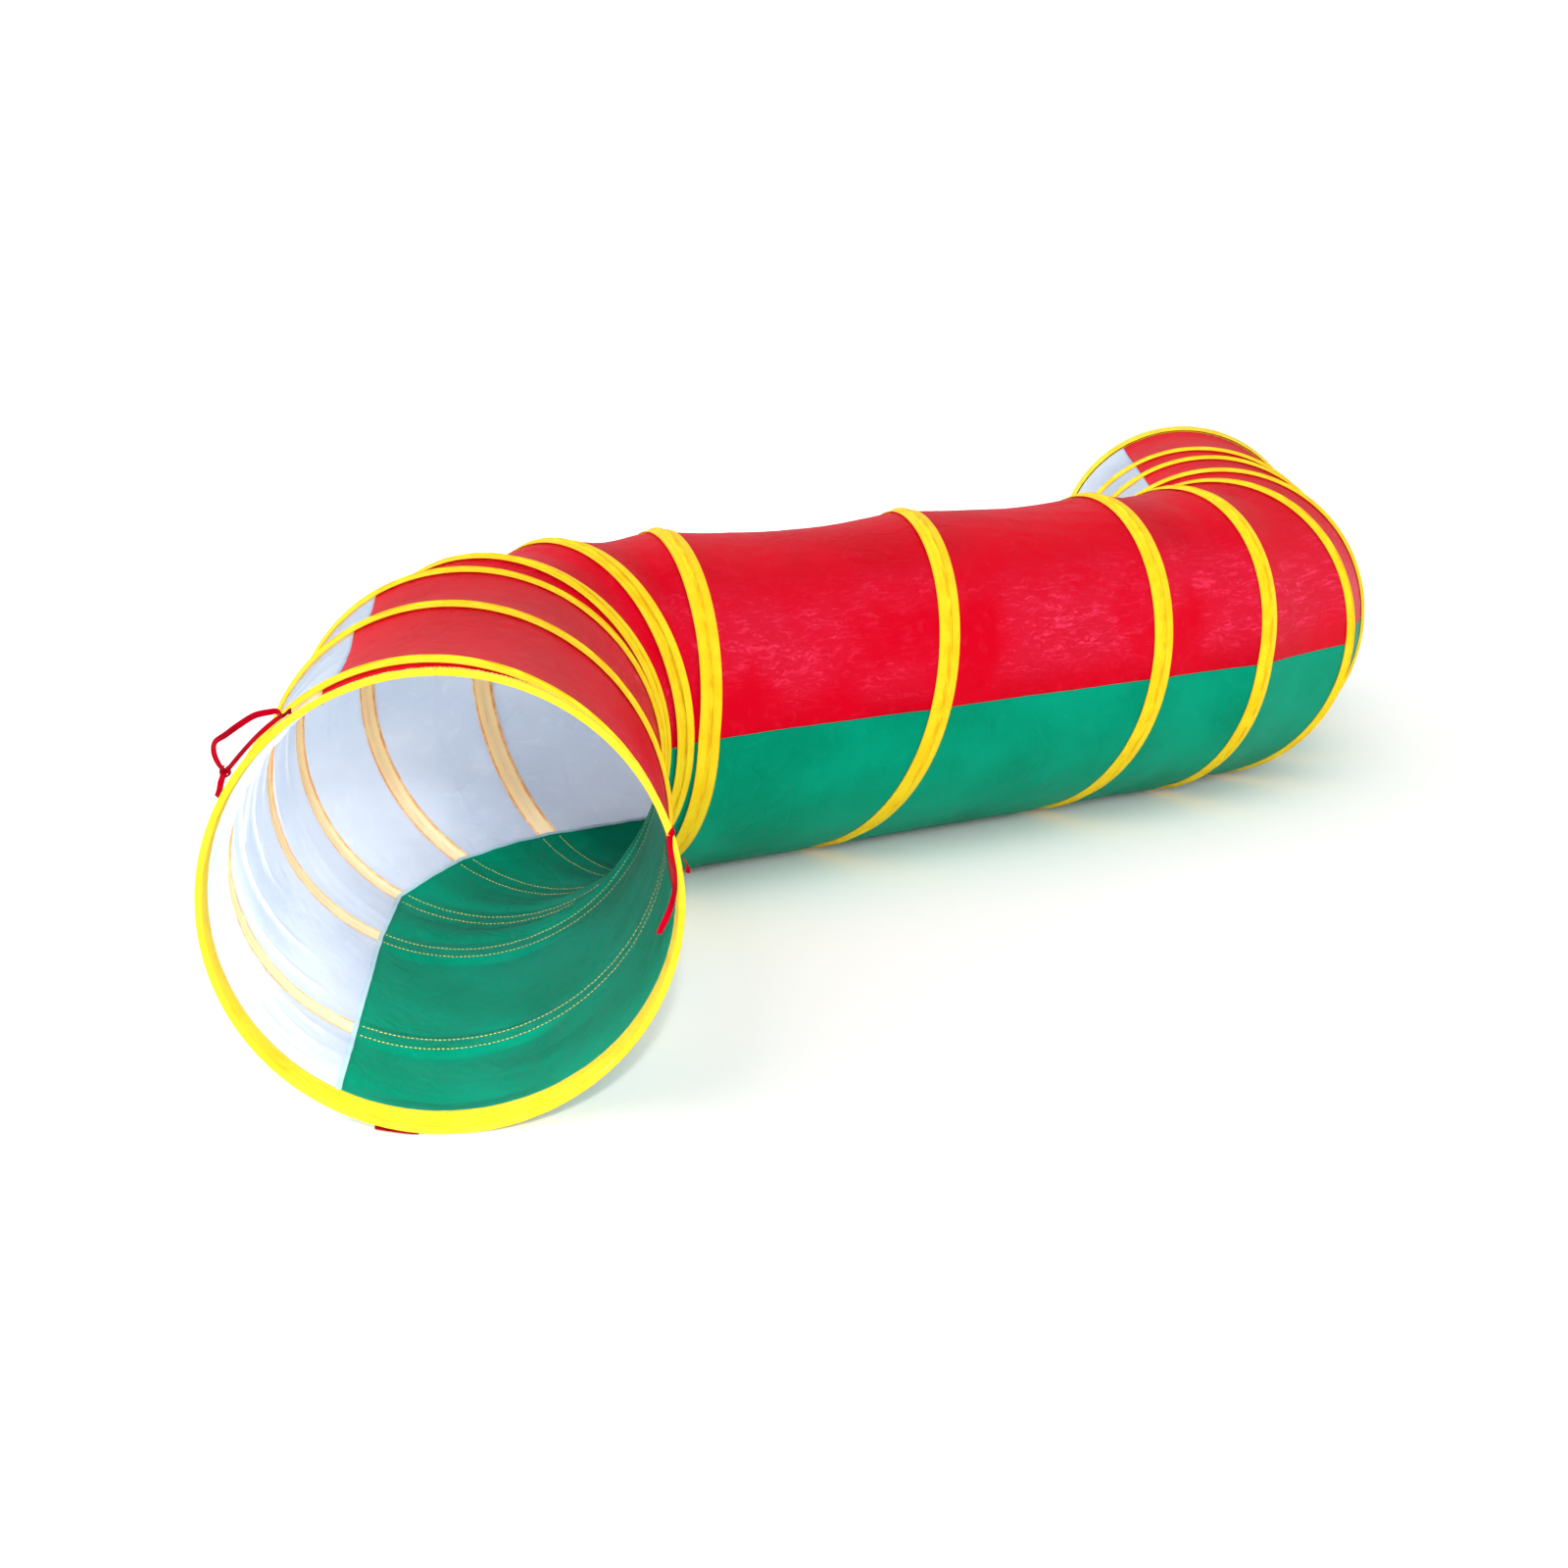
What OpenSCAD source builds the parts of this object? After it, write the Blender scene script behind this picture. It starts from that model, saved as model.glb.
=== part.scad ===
// Pop-up crawl and agility tunnel lying on the floor in an S shape.
// One spring-steel wire winds along the tunnel as a left-handed helix, in a
// yellow sleeve sewn outside three long nylon panels.
// Origin: on the floor under the ring one bay into the long run.
// +X runs along the long run towards the far bend, +Z is up.

/* [Tube] */
// Outside radius of the sleeve where it bulges over the wire
tube_r = 240; // [200:1:320]
// Thickness of a nylon panel with its seam allowance
panel_t = 0.8; // [0.5:0.1:1.2]
// Angle of the red and green seam from the top, positive towards the left of travel
seam_rg = -91; // [-100:1:-80]
// Angle of the red and white seam
seam_rw = 31; // [20:1:45]
// Angle of the white and green seam
seam_wg = 151; // [140:1:165]

/* [Helix] */
// Wire diameter
wire_d = 2.5; // [2:0.1:3]
// Full width of the sewn sleeve
sleeve_w = 35; // [24:1:38]
// Thickness of the sleeve tape
sleeve_t = 0.7; // [0.5:0.1:0.9]
// Straight facets in one turn of the wire and of the sleeve
turn_steps = 40; // [36:2:48]

/* [Lie on the floor] */
// Length from one turn to the next in the near straight, mouth first
near_len = [320, 296]; // [150:1:460]
// Turning from one turn to the next around the near bend, degrees to the right
near_turn = [17, 25.5, 20]; // [12:0.5:30]
// Bend radius of the centre line in the near bend
near_r = 354; // [320:1:420]
// Length from one turn to the next along the long run
run_len = [374, 396, 212]; // [150:1:460]
// Turning from one turn to the next around the far bend, degrees to the left
far_turn = [27, 27]; // [20:0.5:32]
// Bend radius of the centre line in the far bend
far_r = 288; // [280:1:360]
// Length from one turn to the next in the far straight, mouth last
far_len = [214, 108, 438]; // [90:1:460]

/* [Rims] */
// Width of the binding folded over each rim
hem_w = 32; // [20:1:36]
// Thickness of the binding
hem_t = 0.8; // [0.6:0.1:1.2]

/* [Ties] */
// Width of a tie tape
tie_w = 10; // [6:1:14]
// Thickness of a tie tape
tie_t = 1.2; // [0.8:0.1:2]
// Length of the hanging tie
tie_len = 104; // [60:1:160]

/* [Hidden] */
$fn = 64;

red = "crimson";
green = "mediumseagreen";
white = "aliceblue";
yellow = "gold";
steel = "lightslategray";
crimp_color = "silver";
tie_color = "firebrick";

// Radii
wire_r = tube_r - 2.35;         // centre line of the wire
sleeve_r = wire_r - wire_d / 2; // underside of the sleeve beside the wire
skin_r = sleeve_r - 1.4;        // outside of the panels
hem_r = tube_r + 1.8;           // outside of the rim binding
hem_in_r = sleeve_r - 4.6;      // inside of the rim binding
axis_z = hem_r;                 // height of the tunnel's centre line

// Bays between turns of the wire: length, and turning, positive to the left
bay_len = concat(near_len, [for (a = near_turn) near_r * a * PI / 180], run_len,
                 [for (a = far_turn) far_r * a * PI / 180], far_len);
bay_turn = concat([for (a = near_len) 0], -near_turn, [for (a = run_len) 0],
                  far_turn, [for (a = far_len) 0]);
bays = len(bay_len);
function sum(list, count) = count <= 0 ? 0 : list[count - 1] + sum(list, count - 1);

// Stretches are the straights and bends in order; station k is the start of bay k
stretch_bays = [len(near_len), len(near_turn), len(run_len), len(far_turn), len(far_len)];
stretches = len(stretch_bays);
stretch_start = [for (e = [0 : stretches]) sum(stretch_bays, e)];
home = stretch_start[2] + 1;    // station of the ring over the origin
station_s = [for (k = [0 : bays]) sum(bay_len, k)];
total = station_s[bays];

// Helix positions are in turns, counted from the top
first_turn = 0.75;              // helix position at station 0
end_s = 6.5;                    // least distance of the helix from either rim
ease_len = 12;                  // how softly it levels out to that distance
near_crimp_turn = 0.62;
far_crimp_turn = 13.88;
crimp_fine = 0.01;              // turns of finely faceted wire to either side
sleeve_ends = [0.90, bays + 0.60];

// The nine cuts between the ten segments
segments = 10;
cut_turns = [1.75, 3.25, 4.25, 5.25, 6.25, 7.75, 9.25, 10.25, 12.25];
cut_lengths = [for (turn = cut_turns)
  let (q = turn - first_turn, k = floor(q))
  station_s[k] + (q - k) * bay_len[k]];
gap = 0.5;                      // half the clearance between panels
turn_gap = 0.0004;              // the same for wire and sleeve, in turns
stretch_gap = 0.05;             // half the clearance between stretches
panel_inset = 4;                // from a rim to the end of the panels

// Start and end of segment i, from the cuts and the two outer ends
function span(i, cuts, ends, clear) = [
  i == 1 ? ends[0] : cuts[i - 2] + clear,
  i == segments ? ends[1] : cuts[i - 1] - clear
];

// ---- Centre line ----

function forward(heading) = [cos(heading), sin(heading)];
function left(heading) = [-sin(heading), cos(heading)];
function station_heading(k) = sum(bay_turn, k) - sum(bay_turn, home);
function bend_r(k) = bay_len[k] / (bay_turn[k] * PI / 180); // positive to the left
// where a bay leads from its own start, at fraction t
function lead(k, t) =
  let (heading = station_heading(k))
  bay_turn[k] == 0
    ? bay_len[k] * t * forward(heading)
    : bend_r(k) * (left(heading) - left(heading + t * bay_turn[k]));
function walk(k) = k <= 0 ? [0, 0] : walk(k - 1) + lead(k - 1, 1);
station_xy = [for (k = [0 : bays]) walk(k) - walk(home)];

function bay_of(s, k = 0) = (k >= bays - 1 || s < station_s[k + 1]) ? k : bay_of(s, k + 1);
// centre line at tunnel length s: [x, y, heading, curvature]
function line(s) =
  let (k = bay_of(s), t = (s - station_s[k]) / bay_len[k], xy = station_xy[k] + lead(k, t))
  [xy[0], xy[1], station_heading(k) + t * bay_turn[k], bay_turn[k] == 0 ? 0 : 1 / bend_r(k)];
// a point of the tube: length s, angle from the top towards the left, radius
function skin(s, angle, radius) =
  let (c = line(s), xy = [c[0], c[1]] + left(c[2]) * radius * sin(angle))
  [xy[0], xy[1], axis_z + radius * cos(angle)];

// ---- Helix ----

// tunnel length gained per turn at station k
function slope(k) =
  k == 0 ? (3 * bay_len[0] - bay_len[1]) / 2
  : k == bays ? (3 * bay_len[bays - 1] - bay_len[bays - 2]) / 2
  : 2 * bay_len[k - 1] * bay_len[k] / (bay_len[k - 1] + bay_len[k]);
// smooth cubic through the stations, straight beyond both ends
function pitch_line(turn) =
  let (q = turn - first_turn)
  q <= 0 ? q * slope(0)
  : q >= bays ? total + (q - bays) * slope(bays)
  : let (k = floor(q), t = q - k)
    station_s[k] + bay_len[k] * (3 * t * t - 2 * t * t * t)
      + slope(k) * (t * t * t - 2 * t * t + t) + slope(k + 1) * (t * t * t - t * t);
function ease(q) = (q + sqrt(q * q + ease_len * ease_len)) / 2;
// tunnel length of the helix, levelled out near the rims
function helix(turn) =
  let (s = pitch_line(turn))
  turn < 3 ? end_s + ease(s - end_s)
  : turn > bays - 2 ? total - end_s - ease(total - end_s - s)
  : s;

// length on the tube's surface for each unit of centre line
function surface_scale(s, angle) = 1 - line(s)[3] * tube_r * sin(angle);
// spacing of the turns on the surface, to the nearer neighbour
function room(turn) =
  let (open = 400,  // where there is no neighbour
       reach = 30,  // how far to either side the bending is looked up
       angle = turn * 360,
       here = helix(turn),
       back = turn < 1.9 ? open : here - helix(turn - 1),
       ahead = turn > bays - 0.4 ? open : helix(turn + 1) - here)
  min(back, ahead) * min(surface_scale(here, angle),
                         surface_scale(max(0, here - reach), angle),
                         surface_scale(min(total, here + reach), angle));
// the sleeve narrows where the turns crowd
function sleeve_half(turn) = max(6, min(sleeve_w / 2, 0.42 * room(turn)));

// corners of the wire and the sleeve, on shared turns; none very close to an end
function steps(ends) = concat(
  [ends[0]],
  [for (i = [ceil(ends[0] * turn_steps + 0.2) : floor(ends[1] * turn_steps - 0.2)])
    i / turn_steps],
  [ends[1]]);
// fine corners through a crimp; 0 and 12 are the two ends
function crimp_steps(middle, from, to) =
  [for (i = [from : to]) middle + crimp_fine * (i / 6 - 1)];

// closed skin through rings of points, all of the same count
module loft(rings) {
  n = len(rings[0]);
  last = len(rings) - 1;
  polyhedron([for (ring = rings) each ring], concat(
    [[for (j = [0 : n - 1]) j]],
    [for (i = [0 : last - 1], j = [0 : n - 1])
      let (a = i * n + j, b = i * n + (j + 1) % n)
      each [[a, a + n, b], [b, a + n, b + n]]],
    [[for (j = [n - 1 : -1 : 0]) last * n + j]]), convexity = 10);
}

// six-sided wire through the given turns
module wire_run(turns) {
  color(steel) loft([for (turn = turns)
    let (s = helix(turn), along = forward(line(s)[2]))
    [for (j = [0 : 5])
      skin(s, turn * 360, wire_r + wire_d / 2 * cos(j * 60))
        + wire_d / 2 * sin(j * 60) * [along[0], along[1], 0]]]);
}

// one segment of wire; the first and last run through a crimp and add the end ring
module wire(i) {
  ends = span(i, cut_turns, [near_crimp_turn + crimp_fine, far_crimp_turn - crimp_fine],
              turn_gap);
  wire_run(concat(
    i == 1 ? crimp_steps(near_crimp_turn, 0, 11) : [],
    steps(ends),
    i == segments ? crimp_steps(far_crimp_turn, 1, 12) : []));
  if (i == 1) end_ring(false);
  if (i == segments) end_ring(true);
}

// tape with a bulge over the wire
module sleeve(i) {
  top = tube_r - 0.1;
  low = sleeve_r + sleeve_t;
  out = 3;       // half width of the bulge outside
  in = 2.4;      // and inside
  margin = 1;    // kept from either rim
  color(yellow) loft([for (turn = steps(span(i, cut_turns, sleeve_ends, turn_gap)))
    let (s = helix(turn), angle = turn * 360, half = sleeve_half(turn),
         scaling = surface_scale(s, angle))
    // section corners: [distance along the surface, radius]
    [for (q = [[-half, sleeve_r], [-half, low], [-out, top], [out, top],
               [half, low], [half, sleeve_r], [in, top - sleeve_t], [-in, top - sleeve_t]])
      skin(max(margin, min(total - margin, s + q[0] / scaling)), angle, q[1])]]);
}

// ---- Panels ----

// section of one panel, x to the left of travel and y up
module sector(from, to) {
  clear = gap * 180 / PI / skin_r;
  intersection() {
    difference() {
      circle(r = skin_r);
      circle(r = skin_r - panel_t);
    }
    polygon(concat([[0, 0]], [for (i = [0 : 4])
      polar(2 * tube_r, from + clear + (to - from - 2 * clear) * i / 4)]));
  }
}

// sweep a section along stretch e, from tunnel length start to end
module sweep(e, start, end) {
  k = stretch_start[e];
  heading = station_heading(k);
  if (bay_turn[k] == 0) {
    base = station_xy[k] + (start - station_s[k]) * forward(heading);
    translate([base[0], base[1], axis_z])
      rotate([90, 0, heading + 90]) linear_extrude(height = end - start) children();
  } else {
    radius = abs(bend_r(k));
    centre = station_xy[k] + bend_r(k) * left(heading);
    from = (start - station_s[k]) / radius * 180 / PI;
    to = (end - station_s[k]) / radius * 180 / PI;
    translate([centre[0], centre[1], axis_z])
      if (bay_turn[k] > 0)
        rotate([0, 0, heading - 90 + from]) rotate_extrude(angle = to - from)
          translate([radius, 0]) mirror([1, 0]) children();
      else
        rotate([0, 0, heading + 90 - to]) rotate_extrude(angle = to - from)
          translate([radius, 0]) children();
  }
}

// panel of segment i between two seams, one solid for each stretch it passes
module panel(i, from, to) {
  ends = span(i, cut_lengths, [panel_inset, total - panel_inset], gap);
  for (e = [0 : stretches - 1]) {
    start = max(ends[0], station_s[stretch_start[e]] + stretch_gap);
    end = min(ends[1], station_s[stretch_start[e + 1]] - stretch_gap);
    if (end > start + 1) sweep(e, start, end) sector(from, to);
  }
}
module red_panel(i) { color(red) panel(i, seam_rg, seam_rw); }
module white_panel(i) { color(white) panel(i, seam_rw, seam_wg); }
module green_panel(i) { color(green) panel(i, seam_wg, seam_rg + 360); }

// ---- Rims ----

ring_depth = 3;  // from the rim to the middle of the end ring

// frame of a rim: y up, z into the tunnel; x is left of travel, or right at the far rim
module at_rim(far) {
  k = far ? bays : 0;
  translate([station_xy[k][0], station_xy[k][1], axis_z])
    rotate([0, 0, station_heading(k) + (far ? 180 : 0)])
    rotate([90, 0, 90]) children();
}

// closed wire ring at a mouth
module end_ring(far) {
  color(steel) at_rim(far) translate([0, 0, ring_depth]) rotate_extrude(convexity = 4)
    translate([wire_r, 0]) circle(d = wire_d, $fn = 24);
}

// binding folded over the rim, open into the tunnel
module hem(far) {
  depth = hem_r - hem_in_r;
  color(yellow) at_rim(far) rotate_extrude(convexity = 4) difference() {
    translate([hem_in_r, 0]) square([depth, hem_w]);
    translate([hem_in_r + hem_t, hem_t]) square([depth - 2 * hem_t, hem_w]);
  }
}

// steel block that joins the end ring to the wire beside it
module crimp(far) {
  size = 4.1;
  sweep_angle = 4.4;
  turn = far ? far_crimp_turn : near_crimp_turn;
  angle = (far ? -turn : turn) * 360;   // the far rim is seen from the other side
  depth = far ? total - helix(turn) : helix(turn);
  color(crimp_color) at_rim(far) rotate([0, 0, 90 - angle - sweep_angle / 2])
    rotate_extrude(angle = sweep_angle, convexity = 4)
    difference() {
      translate([wire_r, (ring_depth + depth) / 2])
        square([size, size + depth - ring_depth], center = true);
      translate([wire_r, ring_depth]) circle(r = wire_d / 2 + 0.05, $fn = 32);
      translate([wire_r, depth]) circle(r = wire_d / 2 + 0.12, $fn = 32);
    }
}

// ---- Ties, in the frame of the near rim ----

// a point at an angle from the top towards positive x
function polar(radius, angle) = radius * [sin(angle), cos(angle)];
function path_direction(path, i) =
  let (d = path[min(i + 1, len(path) - 1)] - path[max(i - 1, 0)])
  d / norm(d);
// band of even width along a path
module strip(path, width) {
  last = len(path) - 1;
  side = [for (i = [0 : last])
    let (d = path_direction(path, i)) [-d[1], d[0]] * width / 2];
  polygon(concat([for (i = [0 : last]) path[i] + side[i]],
                 [for (i = [last : -1 : 0]) path[i] - side[i]]));
}

// slack loop outside the rim near the red and white seam, over a flatter strand
module tie_top() {
  base_r = hem_r + 4.6;
  start = 35.4;
  sweep_angle = 25.6;
  rise = 26;
  ripple = 0.8;
  color(tie_color) at_rim(false) translate([0, 0, 2]) linear_extrude(height = tie_w) {
    strip([for (i = [0 : 16]) let (t = i / 16)
      polar(base_r + rise * pow(abs(sin(180 * pow(t, 1.15))), 0.7),
            start + sweep_angle * t)], tie_t);
    strip([for (i = [0 : 10]) let (t = i / 10)
      polar(base_r + ripple * sin(900 * t), start + sweep_angle * t)], tie_t);
  }
}

// tie hanging in front of the mouth, past the red and green seam
module tie_side() {
  start = [-226, 72];
  sway = 5;
  kick = 14;        // sideways shift of the lower end
  kick_from = 0.7;  // fraction of the length where it begins
  color(tie_color) at_rim(false) translate([0, 0, -1 - tie_t]) linear_extrude(height = tie_t)
    strip([for (i = [0 : 14]) let (t = i / 14)
      start + [kick * max(0, t - kick_from) / (1 - kick_from) - sway * sin(200 * t),
               -tie_len * t]], tie_w * 0.65);
}

// short end of a tie outside the rim, close to the floor
module tie_bottom() {
  color(tie_color) at_rim(false) translate([0, 0, 4]) linear_extrude(height = tie_w)
    strip([for (i = [0 : 8]) let (t = i / 8)
      polar(hem_r + 1.4 + 3 * t * t, 171 - 9 * t)], tie_t);
}

for (i = [1 : segments]) {
  wire(i);
  sleeve(i);
  red_panel(i);
  white_panel(i);
  green_panel(i);
}
hem(false);  // near_hem
hem(true);  // far_hem
crimp(false);  // near_crimp
crimp(true);  // far_crimp
tie_top();
tie_side();
tie_bottom();
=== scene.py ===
"""A fabric tunnel held open by a coil of spring wire, with a bend near each end.

Red, white and green panels run the whole length, sewn edge to edge. A yellow sleeve covers the
wire, and each rim has a yellow binding. The floor is z = 0. Lengths are in mm until a mesh is
made. A place on the tunnel is a length along its centre line from the near rim, an angle in
degrees from the top towards the left of someone facing the far end, and a radius. The line
passes over the origin at station HOME, heading +X.
"""
import itertools
import math
from collections import namedtuple

import bmesh
import bpy
import numpy as np
from mathutils import Matrix, Vector


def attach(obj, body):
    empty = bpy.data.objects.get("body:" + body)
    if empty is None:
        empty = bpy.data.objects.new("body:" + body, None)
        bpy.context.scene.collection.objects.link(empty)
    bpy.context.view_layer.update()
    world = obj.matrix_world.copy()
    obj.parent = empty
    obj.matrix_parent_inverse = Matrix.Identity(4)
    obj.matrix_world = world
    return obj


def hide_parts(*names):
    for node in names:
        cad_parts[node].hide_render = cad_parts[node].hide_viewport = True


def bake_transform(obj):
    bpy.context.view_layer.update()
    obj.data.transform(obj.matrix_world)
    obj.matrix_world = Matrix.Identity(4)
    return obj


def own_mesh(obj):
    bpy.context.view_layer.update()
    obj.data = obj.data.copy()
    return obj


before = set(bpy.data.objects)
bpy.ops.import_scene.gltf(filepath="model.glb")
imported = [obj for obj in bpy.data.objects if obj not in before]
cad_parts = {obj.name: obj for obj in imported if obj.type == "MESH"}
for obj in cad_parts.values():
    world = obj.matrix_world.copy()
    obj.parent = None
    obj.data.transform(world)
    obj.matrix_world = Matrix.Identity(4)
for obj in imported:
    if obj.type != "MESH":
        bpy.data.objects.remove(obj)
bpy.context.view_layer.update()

# ------------------------------------------------------------------ main sizes
AXIS_Z = 241.8                               # height of the centre line
SKIN_R, WIRE_R, TAPE_R = 235.0, 237.65, 240.0  # fabric, middle of the wire, sleeve
PANEL_T, TAPE_T, WIRE_D = 0.8, 0.7, 2.5      # fabric, sleeve and wire thicknesses
RIM_RING = 3.0                               # from a rim to its end ring
STITCH_INSET = 34                            # from a rim to the first sleeve or seam stitch

# the 13 bays between stations: turn to the left in degrees, length if straight, radius if bent
TURN = np.array([0, 0, -17, -25.5, -20, 0, 0, 0, 27, 27, 0, 0, 0], float)
BAY = np.array([320, 296, 0, 0, 0, 374, 396, 212, 0, 0, 214, 108, 438], float)
BEND_RADIUS = {2: 354, 3: 354, 4: 354, 8: 288, 9: 288}
for bay, bend_radius in BEND_RADIUS.items():
    BAY[bay] = bend_radius * math.radians(abs(TURN[bay]))
BAYS, HOME = 13, 6
RUN = np.concatenate([[0], np.cumsum(BAY)])  # length at each station
TOTAL = RUN[-1]
HEADING = np.radians(np.concatenate([[0], np.cumsum(TURN)]) - TURN[:HOME].sum())
RADIUS = np.array([BAY[k] / math.radians(TURN[k]) if TURN[k] else np.inf for k in range(BAYS)])

# moving bodies and the stations they ride on
BODIES = ["near_mouth", "near_straight", "near_bend_1", "near_bend_2", "near_bend_3",
          "run_middle", "run_far", "far_bend_1", "far_bend_2", "far_mouth"]
STATIONS = [0, 2, 3, 4, 5, 6, 8, 9, 10, 13]
Length = namedtuple("Length", "number first last start end near_body far_body")
LENGTHS = [Length(i + 1, STATIONS[i], STATIONS[i + 1], RUN[STATIONS[i]], RUN[STATIONS[i + 1]],
                  BODIES[i], BODIES[i + 1]) for i in range(9)]

# seams: angle, noise seed, and the two edges of the allowance inside, in mm from the seam
Seam = namedtuple("Seam", "angle seed low high")
SEAMS = {"rg": Seam(-91.0, 31, -5.5, 2.2),   # red to green
         "rw": Seam(31.0, 32, -2.0, 5.0),    # red to white
         "wg": Seam(151.0, 33, -4.8, 0.8)}   # white to green
# first seam, last seam, and degrees to add to the last
PANELS = {"red": ("rg", "rw", 0), "white": ("rw", "wg", 0), "green": ("wg", "rg", 360)}


# ------------------------------------------------------------------ small maths
def smooth(value, start, end):
    """0 before start, 1 after end, eased between."""
    part = np.clip((value - start) / (end - start), 0, 1)
    return part * part * (3 - 2 * part)


def bell(value, half):
    return np.exp(-(value / half) ** 2)


def signed(angle):
    """The angle brought to between -180 and 180."""
    return (angle + 180) % 360 - 180


def unit(vectors):
    return vectors / np.linalg.norm(vectors, axis=-1, keepdims=True)


def path_length(points):
    """Length of the path up to each of its points."""
    return np.concatenate([[0], np.cumsum(np.linalg.norm(np.diff(points, axis=0), axis=1))])


def to_nearest(value, marks):
    return np.min([np.abs(value - mark) for mark in marks], axis=0)


def noise3(x, y, z, seed):
    """Gradient noise, about -1 to 1, the same every run."""
    places = np.broadcast_arrays(x, y, z)
    cells = [np.floor(place).astype(np.int64) for place in places]
    parts = [place - cell for place, cell in zip(places, cells)]
    fades = [part * part * part * (part * (part * 6 - 15) + 10) for part in parts]
    total = 0
    for corner in itertools.product((0, 1), repeat=3):
        # hash the corner of the cell
        code = seed * 668265263 + 977
        for cell, step, prime in zip(cells, corner, (73856093, 19349663, 83492791)):
            code = code ^ ((cell + step) * prime)
        code = code & 0xFFFFFFFF
        code = ((code ^ (code >> 15)) * 2246822519) & 0xFFFFFFFF
        code = ((code ^ (code >> 13)) * 3266489917) & 0xFFFFFFFF
        code = code ^ (code >> 16)
        # its gradient is three 10-bit numbers of the hash
        share = 0
        for part, step, shift in zip(parts, corner, (0, 10, 20)):
            share = share + ((((code >> shift) & 1023) / 511.5) - 1) * (part - step)
        for fade, step in zip(fades, corner):
            share = share * (fade if step else 1 - fade)
        total = total + share
    return total * 1.25


def skin_noise(along, angle, seed, length, girth, twist=0.0):
    """Noise on the tube: grain length and girth in mm, twist in degrees a metre."""
    turned = np.radians(angle + twist * along / 1000)
    return noise3(SKIN_R * np.cos(turned) / girth, SKIN_R * np.sin(turned) / girth,
                  along / length, seed)


# ------------------------------------------------------------------ the centre line and tube
def left(heading):
    return np.stack([-np.sin(heading), np.cos(heading)], -1)


def forward(heading):
    return np.stack([np.cos(heading), np.sin(heading)], -1)


def station_places():
    """x and y of every station."""
    places = [np.zeros(2)]
    for k in range(BAYS):
        if TURN[k]:
            end = HEADING[k] + math.radians(TURN[k])
            places.append(places[-1] + RADIUS[k] * (left(HEADING[k]) - left(end)))
        else:
            places.append(places[-1] + BAY[k] * forward(HEADING[k]))
    return np.array(places) - places[HOME]


PLACE = station_places()


def line(along):
    """Place (x, y) and heading of the centre line."""
    along = np.asarray(along, float)
    k = np.clip(np.searchsorted(RUN, along, "right") - 1, 0, BAYS - 1)
    distance = along - RUN[k]
    start = HEADING[k]
    bent = np.isfinite(RADIUS[k])
    radius = np.where(bent, RADIUS[k], 1.0)
    heading = start + np.where(bent, distance / radius, 0.0)
    step = np.where(bent[..., None], radius[..., None] * (left(start) - left(heading)),
                    distance[..., None] * forward(start))
    return PLACE[k] + step, heading


def tube(along, angle, radius):
    """Points on the round tube."""
    along, angle, radius = np.broadcast_arrays(
        np.asarray(along, float), np.asarray(angle, float), np.asarray(radius, float))
    place, heading = line(along)
    tilt = np.radians(angle)
    flat = place + (radius * np.sin(tilt))[..., None] * left(heading)
    return np.concatenate([flat, (AXIS_Z + radius * np.cos(tilt))[..., None]], -1)


def surface(along, angle):
    """Distance on the fabric's surface from the near rim, at one angle."""
    return along - SKIN_R * np.sin(np.radians(angle)) * (line(along)[1] - HEADING[0])


def unsurface(distance, angle):
    """The inverse of surface."""
    distance, angle = np.broadcast_arrays(np.asarray(distance, float), np.asarray(angle, float))
    side = SKIN_R * np.sin(np.radians(angle))
    along = distance.copy()
    for k in range(BAYS):
        start = RUN[k] - side * (HEADING[k] - HEADING[0])
        end = RUN[k + 1] - side * (HEADING[k + 1] - HEADING[0])
        inside = (distance >= start) & ((distance < end) if k < BAYS - 1 else True)
        along = np.where(inside, RUN[k] + (distance - start) * BAY[k] / (end - start), along)
    return along


# ------------------------------------------------------------------ the coil
RIM_TURN = 0.75              # turns at the near rim; station k is crossed at RIM_TURN + k
COIL = (0.70, 13.80)         # turns between which the coil shapes the fabric
END_REST, EASE = 6.5, 12     # the coil settles this far inside a rim, over this length
# rise of the coil in mm a turn at each station
RISE = np.array([(3 * BAY[0] - BAY[1]) / 2]
                + [2 * BAY[k - 1] * BAY[k] / (BAY[k - 1] + BAY[k]) for k in range(1, BAYS)]
                + [(3 * BAY[-1] - BAY[-2]) / 2])


def free_coil(turns):
    """Length the coil has reached, before it is eased at the rims: one bay a turn."""
    passed = np.asarray(turns, float) - RIM_TURN
    k = np.clip(np.floor(passed).astype(int), 0, BAYS - 1)
    part = passed - k
    along = (RUN[k] + BAY[k] * (3 * part * part - 2 * part ** 3)
             + RISE[k] * (part ** 3 - 2 * part * part + part)
             + RISE[k + 1] * (part ** 3 - part * part))
    along = np.where(passed <= 0, passed * RISE[0], along)
    return np.where(passed >= BAYS, TOTAL + (passed - BAYS) * RISE[BAYS], along)


def ease(distance):
    """The distance, kept above zero by a soft corner."""
    return (distance + np.sqrt(distance * distance + EASE ** 2)) / 2


def helix(turns):
    """Length at which the wire lies after so many turns."""
    along = free_coil(turns)
    near = END_REST + ease(along - END_REST)
    far = TOTAL - END_REST - ease(TOTAL - END_REST - along)
    return np.where(turns < 3, near, np.where(turns > BAYS - 2, far, along))


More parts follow.
